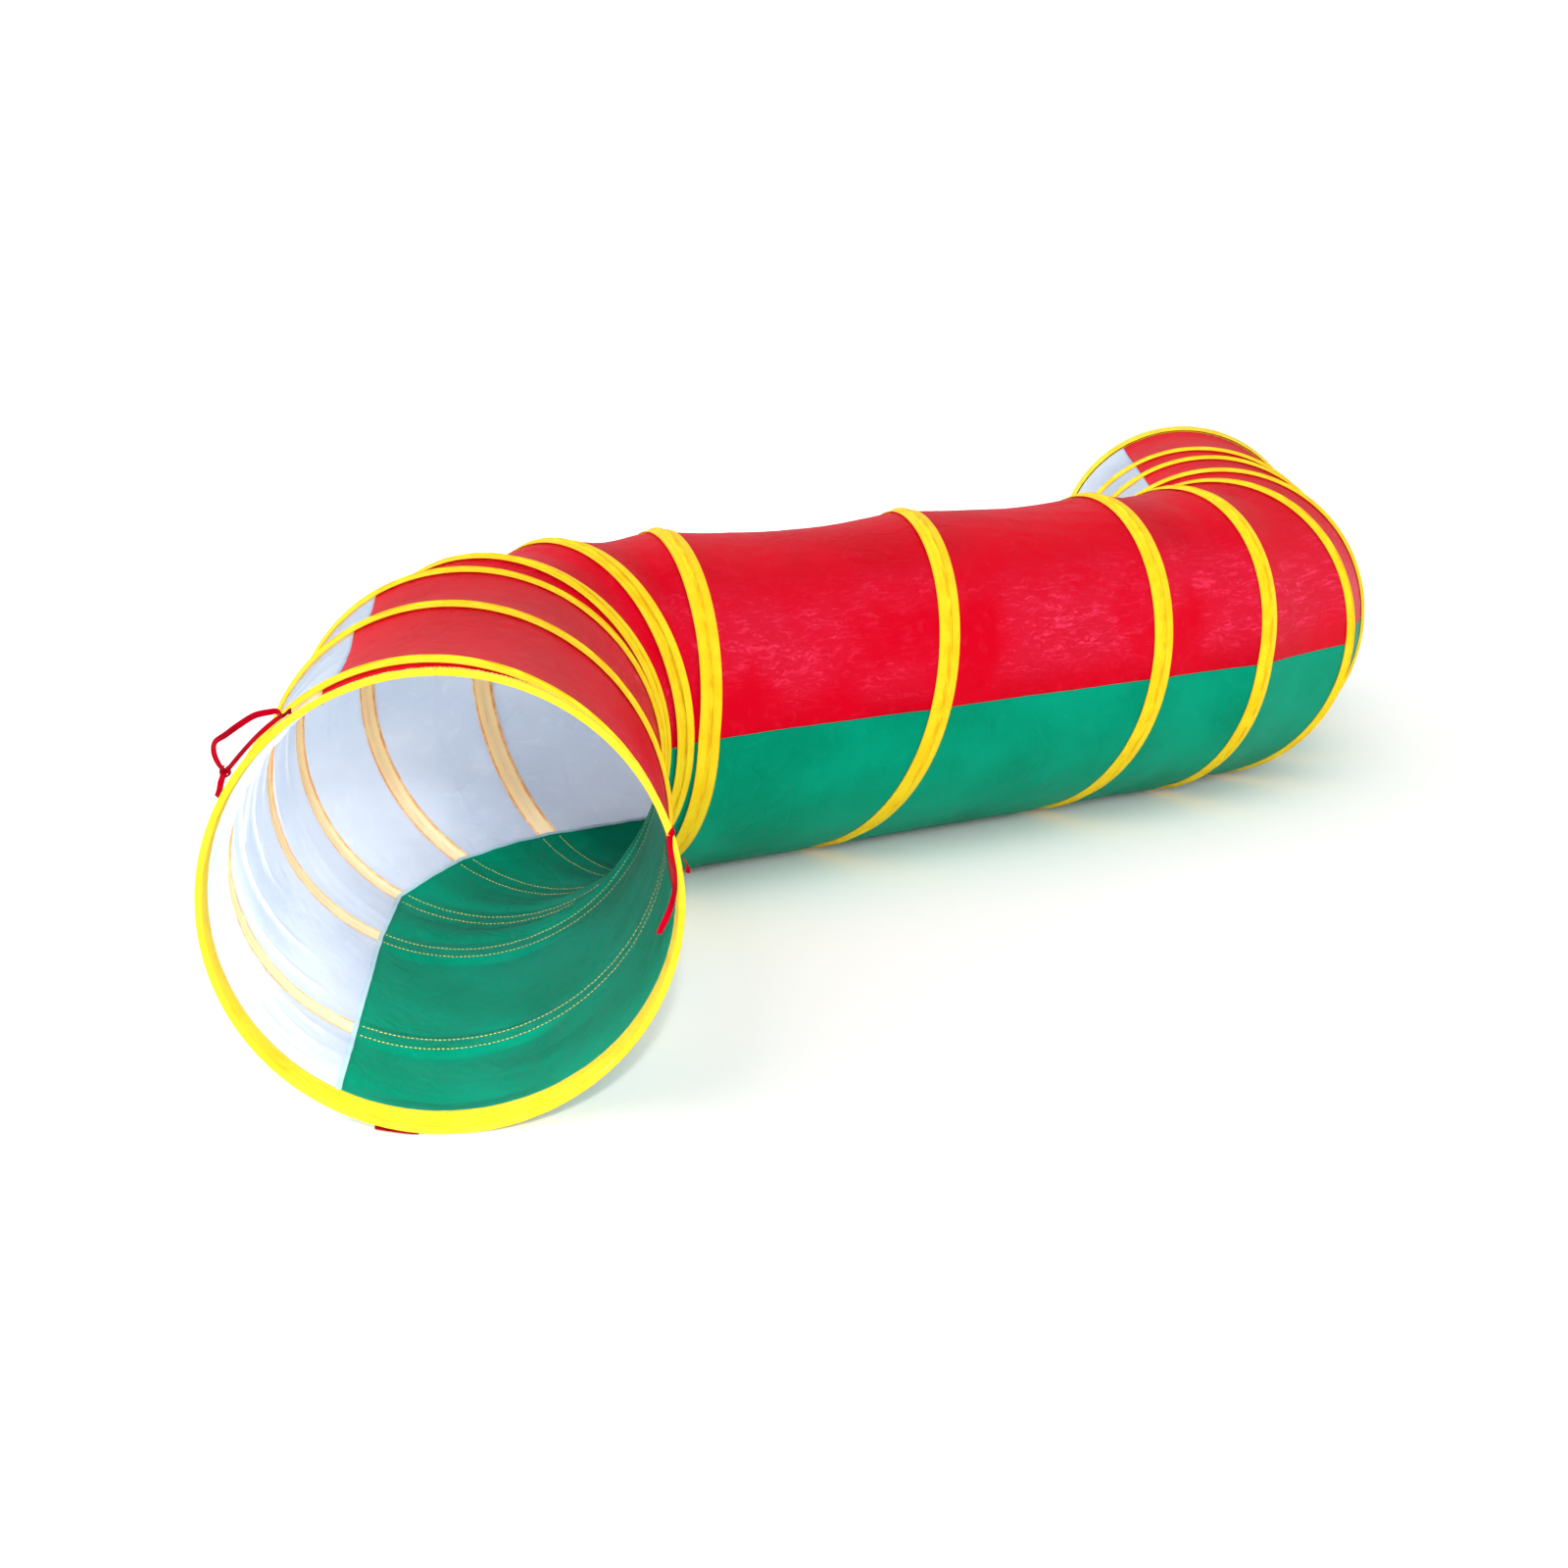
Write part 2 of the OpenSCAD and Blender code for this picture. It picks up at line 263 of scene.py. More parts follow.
def crossings(along, angle):
    """Lengths of the turns of wire, or end rings, just before and just after each point."""
    base = (angle / 360.0) % 1.0
    before = np.full(along.shape, RIM_RING)
    after = np.full(along.shape, TOTAL - RIM_RING)
    for count in range(15):
        turns = base + count
        wire = helix(turns)
        real = (turns > COIL[0]) & (turns < COIL[1])
        before = np.where(real & (wire <= along) & (wire > before), wire, before)
        after = np.where(real & (wire > along) & (wire < after), wire, after)
    return before, after


def skin(along, angle, radius):
    """Points on the fabric's ground shape, drawn nearly straight from wire to wire."""
    along, angle, radius = np.broadcast_arrays(
        np.asarray(along, float), np.asarray(angle, float), np.asarray(radius, float))
    before, after = crossings(along, angle)
    start, end = surface(before, angle), surface(after, angle)
    share = np.clip((surface(along, angle) - start) / np.maximum(end - start, 1), 0, 1)[..., None]
    on = tube(along, angle, radius)
    chord = (1 - share) * tube(before, angle, radius) + share * tube(after, angle, radius)
    return on + 0.9 * (chord - on)


SLEEVE_HALF, SLEEVE_LEAST = 17.5, 6  # widest and narrowest half width of the sleeve
SLEEVE_SHARE = 0.43                  # half width as a share of the gap between turns
NO_TURN = 400                        # stands in for the gap where there is no next turn


def plain_half(gap):
    """Half width of the sleeve for a gap between turns."""
    return np.clip(SLEEVE_SHARE * gap, SLEEVE_LEAST, SLEEVE_HALF)


def half_width(turns):
    """Half width of the sleeve, with a rounded corner where it starts to narrow."""
    angle = turns * 360
    here = surface(helix(turns), angle)
    back = here - surface(helix(np.maximum(turns - 1, COIL[0])), angle)
    ahead = surface(helix(np.minimum(turns + 1, COIL[1])), angle) - here
    gap = np.minimum(np.where(turns < COIL[0] + 1, NO_TURN, back),
                     np.where(turns > COIL[1] - 1, NO_TURN, ahead))
    plain = plain_half(gap)
    return plain - 1.2 * bell(SLEEVE_SHARE * gap - SLEEVE_HALF, 3.0) * (plain > 9)


# ------------------------------------------------------------------ mesh helpers
def set_mesh(name, verts, faces, material, uv=None, sharp=0):
    """A mesh object from points and UVs in mm and a list of face arrays.

    Edges over sharp degrees are marked sharp; 0 marks none.
    """
    mesh = bpy.data.meshes.new(name)
    verts = np.asarray(verts, float).reshape(-1, 3)
    mesh.vertices.add(len(verts))
    mesh.vertices.foreach_set("co", (verts / 1000).astype(np.float32).ravel())
    faces = [np.asarray(part, np.int32) for part in faces]
    loops = np.concatenate([part.ravel() for part in faces])
    sizes = np.concatenate([np.full(len(part), part.shape[1], np.int32) for part in faces])
    starts = np.concatenate([[0], np.cumsum(sizes)[:-1]]).astype(np.int32)
    mesh.loops.add(len(loops))
    mesh.loops.foreach_set("vertex_index", loops)
    mesh.polygons.add(len(sizes))
    mesh.polygons.foreach_set("loop_start", starts)
    mesh.update(calc_edges=True)
    if uv is not None:
        corners = np.asarray(uv, float).reshape(-1, 2)[loops] / 1000
        layer = mesh.uv_layers.new(name="UVMap")
        layer.data.foreach_set("uv", corners.astype(np.float32).ravel())
    mesh.validate()
    mesh.shade_smooth()
    if sharp:
        mesh.set_sharp_from_angle(angle=math.radians(sharp))
    ob = bpy.data.objects.new(name, mesh)
    bpy.context.scene.collection.objects.link(ob)
    mesh.materials.append(material)
    return ob


def quads(*corners):
    return np.stack(corners, -1).reshape(-1, 4)


def twice(values):
    """One value for each point of a sheet's two sides."""
    return np.concatenate([values.ravel()] * 2)


def sheet(name, outer, inner, uv, material, sharp):
    """A closed sheet between two grids of points, shape (rows, columns, 3)."""
    top = np.arange(outer.size // 3).reshape(outer.shape[:2])
    low = top + top.size
    faces = [quads(top[:-1, :-1], top[1:, :-1], top[1:, 1:], top[:-1, 1:]),
             quads(low[:-1, :-1], low[:-1, 1:], low[1:, 1:], low[1:, :-1]),
             quads(top[0, :-1], top[0, 1:], low[0, 1:], low[0, :-1]),
             quads(top[-1, 1:], top[-1, :-1], low[-1, :-1], low[-1, 1:]),
             quads(top[1:, 0], top[:-1, 0], low[:-1, 0], low[1:, 0]),
             quads(top[:-1, -1], top[1:, -1], low[1:, -1], low[:-1, -1])]
    verts = np.concatenate([outer.reshape(-1, 3), inner.reshape(-1, 3)])
    flat = np.stack(uv, -1).reshape(-1, 2)
    return set_mesh(name, verts, faces, material, np.concatenate([flat, flat]), sharp)


def ring_faces(rings, around, closed=False):
    """Quads joining rings of points; closed joins the last ring to the first."""
    index = np.arange(rings * around).reshape(rings, around)
    beside = np.roll(index, -1, 1)
    joined = np.stack([index, beside, np.roll(beside, -1, 0), np.roll(index, -1, 0)], -1)
    return (joined if closed else joined[:-1]).reshape(-1, 4)


def face_outward(ob):
    work = bmesh.new()
    work.from_mesh(ob.data)
    bmesh.ops.recalc_face_normals(work, faces=work.faces)
    work.to_mesh(ob.data)
    work.free()


def add_attribute(ob, name, values):
    attribute = ob.data.attributes.new(name, "FLOAT", "POINT")
    attribute.data.foreach_set("value", twice(values).astype(np.float32))


def fit(ob, length, along, slot, piece=None):
    """Bakes ob's transform and works out each vertex's weight between its length's bodies, given
    each vertex's length along the line; the weights are not used.

    piece is the stem of the CAD pieces it replaces; the ninth length also takes the tenth.
    """
    start, end = [(PLACE[k][0] / 1000, PLACE[k][1] / 1000, AXIS_Z / 1000)
                  for k in (length.first, length.last)]
    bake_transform(ob)
    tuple(start)
    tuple(end)
    weight = (along - length.start) / (length.end - length.start)
    weight = np.clip(np.asarray(weight, np.float32).ravel(), -0.02, 1.02)
    if piece:
        last = [f"{piece}_10"] if length.number == 9 else []
        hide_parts(f"{piece}_{length.number}", *last)


def trimmed(length, inset):
    """Start and end of a length, kept at least inset from the rims."""
    return max(length.start, inset), min(length.end, TOTAL - inset)


def turn_range(length, first, last):
    """Turns of the coil in a length; first and last stand at the rims."""
    return (first if length.first == 0 else RIM_TURN + length.first,
            last if length.last == BAYS else RIM_TURN + length.last)


# ------------------------------------------------------------------ the shape of the fabric
# folds in the white near the near rim: start length and angle, end length and angle,
# height and half width in mm
FANS = [(70, 40, 34, 84, 3.0, 5), (78, 44, 48, 112, 3.4, 5), (84, 46, 70, 138, 3.6, 5.5),
        (90, 46, 108, 148, 3.6, 5.5), (96, 45, 160, 150, 4.0, 6), (104, 44, 216, 149, 3.2, 5.5),
        (112, 42, 280, 146, 3.6, 6), (122, 40, 350, 138, 3.0, 6), (150, 36, 300, 92, 2.6, 5.5),
        (200, 34, 392, 118, 3.2, 6), (236, 34, 262, 100, 3.0, 5), (300, 34, 440, 98, 2.8, 6),
        (380, 34, 408, 96, 2.6, 5), (430, 34, 540, 112, 2.8, 6), (520, 34, 606, 100, 2.4, 6),
        (34, 96, 62, 146, 2.4, 5)]
FANS_END = 700  # no folds beyond this length


def fans(along, angle, narrow=1.0):
    """Height of the fanned folds, in mm; narrow scales their width."""
    turned = signed(angle)
    height = np.zeros(np.shape(turned))
    if np.min(along) > FANS_END:
        return height
    for start, start_angle, end, end_angle, top, half in FANS:
        start_y, end_y = math.radians(start_angle) * SKIN_R, math.radians(end_angle) * SKIN_R
        reach_x, reach_y = end - start, end_y - start_y
        x, y = along - start, np.radians(turned) * SKIN_R - start_y
        square = reach_x ** 2 + reach_y ** 2
        part = (x * reach_x + y * reach_y) / square
        # a slight wave, then a ridge with a shallower trough on one side
        off = (x * reach_y - y * reach_x) / math.sqrt(square) + 2.4 * np.sin(part * 4.2 + start)
        wide = half * narrow * (0.6 + 0.6 * np.clip(part, 0, 1))
        ridge = bell(off, wide) - 0.5 * bell(off - 2.0 * wide, 1.3 * wide)
        here = top * ridge * smooth(part, -0.02, 0.12) * (1 - smooth(part, 0.72, 1.0))
        height = np.where(np.abs(here) > np.abs(height), here, height)
    return height


def lift(angle):
    """How far a rim's binding and the fabric by it are held in near the bottom, in mm."""
    return 5.5 * bell(signed(np.asarray(angle, float) - 188), 46)


def sag(along, angle, gap, share, rim):
    """The sheet hangs between the turns, most on top, less in part of the middle run."""
    tight = 1 - 0.42 * bell(along - RUN[6] - 210, 130)
    bow = 4 * share * (1 - share)
    top = np.cos(np.radians(angle))
    deep = -14 * tight * np.clip(gap / 390, 0, 1.1) ** 1.45 * bow
    deep = deep * (0.52 + 0.48 * top) * (0.55 + 0.45 * rim)
    return deep * (1 + 0.18 * skin_noise(along, angle, seed=3, length=260, girth=190))


def spare_cloth(along, angle, gap, share, rim, free):
    """Cloth that falls in, rumpled, where the turns lie close."""
    slack = np.clip(1 - gap / 300, 0, 1)
    uneven = 0.75 + 0.45 * skin_noise(along, angle, seed=5, length=90, girth=120)
    fall = 13 * slack * np.sin(np.pi * share) ** 2 * rim * uneven * smooth(gap, 20, 60)
    rumple = skin_noise(along, angle, seed=7, length=26, girth=150, twist=25)
    return 3.6 * slack * free * rumple * smooth(gap, 30, 90) - fall


def long_folds(along, angle):
    """Two patchy sets of long soft folds that slant opposite ways."""
    first = skin_noise(along, angle, seed=11, length=330, girth=46, twist=70)
    second = skin_noise(along, angle, seed=12, length=260, girth=60, twist=-95)
    where_first = smooth(skin_noise(along, angle, seed=13, length=240, girth=210), -0.15, 0.45)
    where_second = smooth(skin_noise(along, angle, seed=14, length=210, girth=230), -0.1, 0.5)
    return (2.6 * where_first * (0.35 - np.abs(first))
            + 2.8 * where_second * (0.35 - np.abs(second)))


def gathers(along, angle, to_wire, rim):
    """Short gathers beside the stitched sleeve."""
    side = np.exp(-np.clip(to_wire - 14, 0, None) / 17) * rim * smooth(to_wire, 10, 17)
    return side * (1.05 * skin_noise(along, angle, seed=17, length=70, girth=9.5)
                   + 0.8 * skin_noise(along, angle, seed=18, length=90, girth=19))


def crinkles(along, angle):
    """Crinkles of thin coated nylon, in two sizes."""
    coarse = np.abs(skin_noise(along, angle, seed=21, length=34, girth=26, twist=40))
    fine = np.abs(skin_noise(along, angle, seed=22, length=19, girth=17, twist=-60))
    patch = smooth(skin_noise(along, angle, seed=23, length=120, girth=110), -0.2, 0.5)
    return (0.35 + 0.65 * patch) * (1.5 * (0.22 - coarse) + 0.75 * (0.22 - fine))


def red_puckers(along, angle):
    """Short slanting puckers in the lower half of the red, in the long run."""
    down = -signed(angle)
    strip = smooth(down, 28, 52) * (1 - smooth(down, 84, 90))
    stretch = smooth(along, RUN[5] - 120, RUN[6] - 60) * (1 - smooth(along, RUN[8], RUN[9]))
    patch = smooth(skin_noise(along, angle, seed=24, length=150, girth=90), -0.35, 0.25)
    ridges = np.abs(skin_noise(along, angle, seed=25, length=44, girth=15, twist=120))
    small = skin_noise(along, angle, seed=26, length=24, girth=11, twist=-140)
    return strip * stretch * patch * (1.9 * (0.25 - ridges) + 1.2 * small)


def fabric(along, angle):
    """How far the fabric's outer face stands outside SKIN_R, in mm."""
    along, angle = np.broadcast_arrays(np.asarray(along, float), np.asarray(angle, float))
    before, after = crossings(along, angle)
    here = surface(along, angle)
    back = np.maximum(here - surface(before, angle), 0)
    ahead = np.maximum(surface(after, angle) - here, 0)
    gap, to_wire = back + ahead, np.minimum(back, ahead)
    share = np.clip(back / np.maximum(gap, 1), 0, 1)
    to_rim = np.minimum(along, TOTAL - along)
    rim = smooth(to_rim, 34, 70)             # 0 by the rims
    free = smooth(to_wire, 14, 40) * rim     # 0 by the wire too
    down = -np.cos(np.radians(angle))        # 1 at the bottom, -1 at the top
    out = sag(along, angle, gap, share, rim)
    # the bottom rests fuller, on the floor
    out = out + 4.5 * smooth(down, 0.84, 1.0) * free * smooth(gap, 60, 200)
    out = out + spare_cloth(along, angle, gap, share, rim, free)
    out = out + free * long_folds(along, angle)
    out = out + gathers(along, angle, to_wire, rim)
    out = out + free * (crinkles(along, angle) + red_puckers(along, angle))
    out = out - fans(along, angle) * smooth(to_wire, 4, 22)
    # by the rims the lowest fabric is held up off the floor
    out = out - lift(angle) * smooth(to_rim, 5, 31) * (1 - smooth(to_rim, 45, 230))
    # it can't stand out past the sleeve that lies on it
    out = np.minimum(out, -0.3 + 0.5 * np.maximum(to_wire - plain_half(gap) - 1.0, 0))
    # nor go below the floor
    floor = np.where(down > 0.05, (AXIS_Z - 1.2) / np.maximum(down, 0.05) - SKIN_R, 99)
    return np.minimum(out, floor)


# ------------------------------------------------------------------ panels
SEAM_GAP = 0.05                       # from the seam line to each panel's edge
EDGE_COLUMNS = [0, 0.9, 2.0, 3.6, 6.0]  # columns of points beside a seam, in mm from it


def seam_line(which, along):
    """Where a sewn seam runs, in degrees; it wanders by a millimetre or so."""
    seam = SEAMS[which]
    return (seam.angle + 0.32 * noise3(along / 130, 0.0, 0.0, seam.seed)
            + 0.11 * noise3(along / 31, 0.0, 0.0, seam.seed + 5))


def panel_rows(start, end, step=6.0):
    """Lengths of a panel's rows, with a close pair at each end."""
    even = np.linspace(start, end, max(2, int(round((end - start) / step))) + 1)
    return np.concatenate([[start, start + 0.7], even[1:-1], [end - 0.7, end]])


def panel_grid(colour, rows, step):
    """Angles of a panel's points on every row, and their distance in mm from a side edge."""
    first, last, wrap = PANELS[colour]
    gap = np.degrees(SEAM_GAP / SKIN_R)
    start = (seam_line(first, rows) + gap)[:, None]
    end = (seam_line(last, rows) + wrap - gap)[:, None]
    edge = np.degrees(np.array(EDGE_COLUMNS) / SKIN_R)
    span = SEAMS["rw"].angle - SEAMS["rg"].angle
    middle = np.linspace(0, 1, int(round(span / step)))[1:-1]
    angle = np.concatenate([start + edge, (start + edge[-1]) + (end - start - 2 * edge[-1]) * middle,
                            end - edge[::-1]], 1)
    return angle, np.minimum(angle - start, end - angle) * math.pi / 180 * SKIN_R


def off_wire(along, angle):
    """Distance from the wire in half widths of the sleeve behind the fabric, at most 3."""
    before, after = crossings(along, angle)
    here = surface(along, angle)
    # the end rings have no sleeve
    near_ring = RIM_RING + 0.5
    back = np.where(before < near_ring, 999, here - surface(before, angle))
    ahead = np.where(after > TOTAL - near_ring, 999, surface(after, angle) - here)
    return np.clip(np.minimum(back, ahead) / plain_half(back + ahead), 0, 3)


def build_panel(colour, length, material):
    # finer rows (mm) and columns (degrees) by the near mouth and in the long run
    row_step, column_step = 6.0, 1.5
    if length.number == 1 and colour != "red":
        row_step, column_step = 3.0, 0.75
    elif length.number in (6, 7) and colour != "white":
        row_step, column_step = 4.0, 1.0
    rows = panel_rows(*trimmed(length, 9.0), row_step)
    angle, to_edge = panel_grid(colour, rows, column_step)
    along = np.broadcast_to(rows[:, None], angle.shape)
    # drawn in along the seams, except by the rims
    drawn = 1.5 * bell(to_edge, 2.0) * smooth(np.minimum(along, TOTAL - along), 32, 40)
    out = fabric(along, angle) - drawn
    ob = sheet(f"{colour}_panel_length_{length.number}", skin(along, angle, SKIN_R + out),
               skin(along, angle, SKIN_R - PANEL_T + out),
               (np.radians(angle) * SKIN_R, along), material, sharp=60)
    # distance from the wire, from which the white material paints the sleeve band
    add_attribute(ob, "off_wire", off_wire(along, angle))
    if colour == "white":
        # the fold height, from which the white material paints highlight on the ridges and shade in
        # the troughs
        add_attribute(ob, "fold", np.clip(fans(along, angle, narrow=0.8) / 3.2, -1, 1))
    fit(ob, length, twice(along), f"{colour}_nylon", f"{colour}_panel")


# ------------------------------------------------------------------ sleeve and wire
INNER = STATIONS[1:-1]
INNER_TURNS = [RIM_TURN + k for k in INNER]
SLEEVE_ENDS = (0.80, 13.78)   # turns at the ends of the sleeve
WIRE_ENDS = (0.614, 13.886)   # turns at the ends of the wire
# columns of the sleeve from its middle to one edge, as shares of the half width
ACROSS_HALF = np.array([.04, .11, .19, .28, .42, .58, .72, .82, .9, .965, 1])
ACROSS = np.concatenate([-ACROSS_HALF[::-1], ACROSS_HALF])[:, None]
STITCH_LINE = 0.82            # the thread's place, as a share of the half width


def shear_at(turns):
    """1 where a row of the sleeve is cut along a station, 0 between."""
    return 1 - smooth(to_nearest(turns, INNER_TURNS), 0.0, 0.5)


def off_centre(turns, off):
    """Length of the point that lies off mm across the sleeve."""
    angle = turns * 360
    return unsurface(surface(helix(turns), angle) + off, angle)


def place_across(turns, off):
    """Turns at which a row's points lie: near a station rows slant until they lie along it."""
    stations = np.array(INNER_TURNS)
    station = stations[np.argmin(np.abs(turns[..., None] - stations), axis=-1)]
    target = helix(station)
    low, high = station - 0.6 * (off > 0) - 0.001, station + 0.6 * (off < 0) + 0.001
    for _ in range(34):
        middle = (low + high) / 2
        beyond = off_centre(middle, off) > target
        high = np.where(beyond, middle, high)
        low = np.where(beyond, low, middle)
    return turns + shear_at(turns) * ((low + high) / 2 - station)


def moved_with(turns, along):
    """Length along the line given to fit for a point of the sleeve: part way towards the wire's
    length, away from the stations.
    """
    away = to_nearest(along, RUN[INNER])
    return along - 0.3 * smooth(away, 2, 26) * (along - helix(turns))


def tape_profile(off, half):
    """Height of the sleeve's outer face over SKIN_R, off mm from the wire."""
    off = np.abs(off)
    share = off / np.maximum(half, 1)
    dome = (1.55 + 0.35 * np.cos(np.pi * np.clip(share, 0, 1))
            + 0.5 * bell(off - 0.62 * half, 0.2 * half))
    tuck = -0.55 * bell(off - STITCH_LINE * half, 1.3) - 0.55 * smooth(share, 0.9, 1.0)
    wire = 3.15 * np.exp(-(off / 3.3) ** 2.4)
    return dome + tuck + wire


def build_sleeve(length, material):
    start, end = turn_range(length, *SLEEVE_ENDS)
    row_turns = np.linspace(start, end, int(math.ceil((end - start) * 150)) + 1)
    half = half_width(row_turns)
    off = ACROSS * half
    turns = place_across(row_turns, off)
    # edges are drawn in a little by the thread, unevenly
    wave = (0.45 * noise3(row_turns * 105, 0.0, np.sign(off) * 3.7, 41)
            + 0.3 * noise3(row_turns * 260, 0.0, np.sign(off) * 5.1, 42))
    drawn = off + wave * np.abs(ACROSS) ** 3 * (1 - shear_at(row_turns))
    along = np.clip(off_centre(turns, drawn), RIM_RING, TOTAL - RIM_RING)
    ripple = (0.5 * noise3(turns * 170, off / 9, 0.0, 43)
              + 0.4 * noise3(turns * 75, off / 16, 0.0, 44))
    height = tape_profile(off, half) + ripple * (0.3 + 0.7 * smooth(np.abs(off), 2.5, 7))
    height = np.clip(height, 0.9, 4.9)
    angle = turns * 360
    ob = sheet(f"wire_sleeve_length_{length.number}", skin(along, angle, SKIN_R + height),
               skin(along, angle, SKIN_R + height - TAPE_T),
               (np.radians(angle) * TAPE_R, off / half * 15), material, sharp=70)
    fit(ob, length, twice(moved_with(turns, along)), "yellow_tape", "sleeve")


def build_wire(length, material):
    sides = 8
    start, end = turn_range(length, *WIRE_ENDS)
    turns = np.linspace(start, end, int(math.ceil((end - start) * 90)) + 1)
    along, angle = helix(turns), turns * 360
    centre = tube(along, angle, WIRE_R)
    outward = (tube(along, angle, WIRE_R + 1) - centre)[:, None]
    onward = unit(tube(along + 0.5, angle, WIRE_R) - tube(along - 0.5, angle, WIRE_R))[:, None]
    around = (np.arange(sides) / sides * 2 * math.pi)[:, None]
    ring = centre[:, None] + WIRE_D / 2 * (np.cos(around) * onward + np.sin(around) * outward)
    first = np.arange(sides)
    caps = np.stack([first[::-1], first + (len(turns) - 1) * sides])
    ob = set_mesh(f"spring_wire_length_{length.number}", ring,
                  [ring_faces(len(turns), sides), caps], material, sharp=60)
    held = np.clip(along, length.start, length.end)
    fit(ob, length, np.repeat(held, sides), "spring_steel", "wire")


# ------------------------------------------------------------------ stitches
STITCH_VERTS = 6
STITCH_FACES = np.array([[0, 2, 3], [0, 3, 4], [0, 4, 5], [0, 5, 2],
                         [1, 3, 2], [1, 4, 3], [1, 5, 4], [1, 2, 5]])


def build_stitches(name, material, centres, onward, across, out, length, width, height):
    """One object of small stitches, pointed at both ends, lying along onward."""
    verts = np.stack([centres - onward * length / 2 - out * height * 0.5,
                      centres + onward * length / 2 - out * height * 0.5,
                      centres - across * width / 2, centres + out * height,
                      centres + across * width / 2, centres - out * height], 1)
    offsets = STITCH_VERTS * np.arange(len(centres))[:, None, None]
    return set_mesh(name, verts, [(STITCH_FACES[None] + offsets).reshape(-1, 3)], material)


def stitch_turns():
    """Even steps along the sleeve, in turns."""
    turns = np.linspace(0.86, 13.64, 40001)
    run = path_length(tube(helix(turns), turns * 360, SKIN_R))
    return np.interp(np.arange(0, run[-1], 5.2), run, turns)


def build_sleeve_threads(material):
    """A row of stitches by each edge of the sleeve, shown outside and inside."""
    even = stitch_turns()
    random = np.random.default_rng(5)
    offs, places = [], []
    for side in (-1, 1):
        offs.append(side * STITCH_LINE * half_width(even) + random.normal(0, 0.12, len(even)))
        places.append(even + random.normal(0, 0.00006, len(even)))
    all_off, all_turns = np.concatenate(offs), np.concatenate(places)
    all_along = off_centre(all_turns, all_off)
    for face, length in itertools.product(("outside", "inside"), LENGTHS):
        start, end = trimmed(length, STITCH_INSET)
        chosen = (all_along >= start) & (all_along < end)
        turns, off, along = all_turns[chosen], all_off[chosen], all_along[chosen]
        angle = turns * 360
        if face == "inside":
            radius = SKIN_R - PANEL_T + fabric(along, angle) - 0.12
            side, size = -1, dict(length=4.9, width=1.45, height=0.42)
        else:
            radius = SKIN_R + tape_profile(off, half_width(turns)) + 0.1
            side, size = 1, dict(length=4.1, width=0.95, height=0.34)
        on = tube(along, angle, radius)
        out = tube(along, angle, radius + 1) - on
        following = turns + 0.0005
        onward = unit(tube(off_centre(following, off), following * 360, radius) - on)
        ob = build_stitches(f"sleeve_thread_{face}_{length.number}", material,
                            skin(along, angle, radius), onward, side * np.cross(onward, out),
                            side * out, **size)
        fit(ob, length, np.repeat(moved_with(turns, along), STITCH_VERTS), "yellow_tape")


# ------------------------------------------------------------------ seams between the panels
def build_seam(which, length, material, slot):
    """Inside, the two edges of a seam lie flat beside it."""
    seam = SEAMS[which]
    rows = panel_rows(*trimmed(length, 30.5))
    rows = np.unique(np.round(np.concatenate([rows, (rows[1:] + rows[:-1]) / 2]), 4))
    low = (seam.low + 0.5 * noise3(rows / 21, 0.0, 0.0, 51)
           + 0.3 * noise3(rows / 8, 0.0, 0.0, 52))[:, None]
    high = (seam.high + 0.4 * noise3(rows / 24, 0.0, 0.0, 53))[:, None]
    share = np.array([0, 0.12, 0.4, 0.7, 0.9, 1.0])
    off = low + (high - low) * share
    angle = seam_line(which, rows)[:, None] + np.degrees(off / SKIN_R)
    along = np.broadcast_to(rows[:, None], angle.shape)
    # the allowance stands off the fabric unevenly, more by its low edge
    loose = 0.35 + 0.55 * np.abs(noise3(along / 17, off / 9, 0.0, 54))
    loose = loose * (0.25 + 0.5 * (share < 0.2))
    inner = SKIN_R - PANEL_T + fabric(along, angle) - 1.5 * bell(off, 2.0)
    ob = sheet(f"seam_{which}_length_{length.number}",
               skin(along, angle, inner - 0.1 - loose * 0.6),
               skin(along, angle, inner - 0.75 - loose),
               (np.radians(angle) * SKIN_R, along), material, sharp=60)
    fit(ob, length, twice(along), slot)


def build_seam_thread(which, length, material, slot):
    """A row of stitches down the middle of the allowance."""
    seam = SEAMS[which]
    along = np.arange(*trimmed(length, STITCH_INSET), 4.2)
    angle = seam_line(which, along) + np.degrees((seam.low + seam.high) / 2 / SKIN_R)
    centres = skin(along, angle, SKIN_R - PANEL_T + fabric(along, angle) - 1.05)
    out = tube(along, angle, SKIN_R + 1) - tube(along, angle, SKIN_R)
    onward = unit(tube(along + 0.5, angle, SKIN_R) - tube(along - 0.5, angle, SKIN_R))
    ob = build_stitches(f"seam_{which}_thread_{length.number}", material, centres, onward,
                        -np.cross(onward, out), -out, length=3.2, width=0.8, height=0.3)
    fit(ob, length, np.repeat(along, STITCH_VERTS), slot)


# ------------------------------------------------------------------ rims
# a rim's own axes face into the tunnel; its angles run from the top towards its left
Rim = namedtuple("Rim", "name far origin left up inward")


def make_rim(name, far):
    station = BAYS if far else 0
    heading = HEADING[station] + (math.pi if far else 0)
    return Rim(name, far, np.array([*PLACE[station], AXIS_Z]), np.array([*left(heading), 0]),
               np.array([0, 0, 1.0]), np.array([*forward(heading), 0]))


NEAR, FAR = make_rim("near", False), make_rim("far", True)


def rim_place(rim, leftward, upward, inward):
    """Points from distances along a rim's own axes."""
    return (rim.origin + leftward[..., None] * rim.left + upward[..., None] * rim.up
            + inward[..., None] * rim.inward)


def rim_point(rim, angle, radius, depth):
    """Points at an angle and radius, depth mm into the tunnel."""
    tilt = np.radians(angle)
    return rim_place(rim, radius * np.sin(tilt), radius * np.cos(tilt), depth)


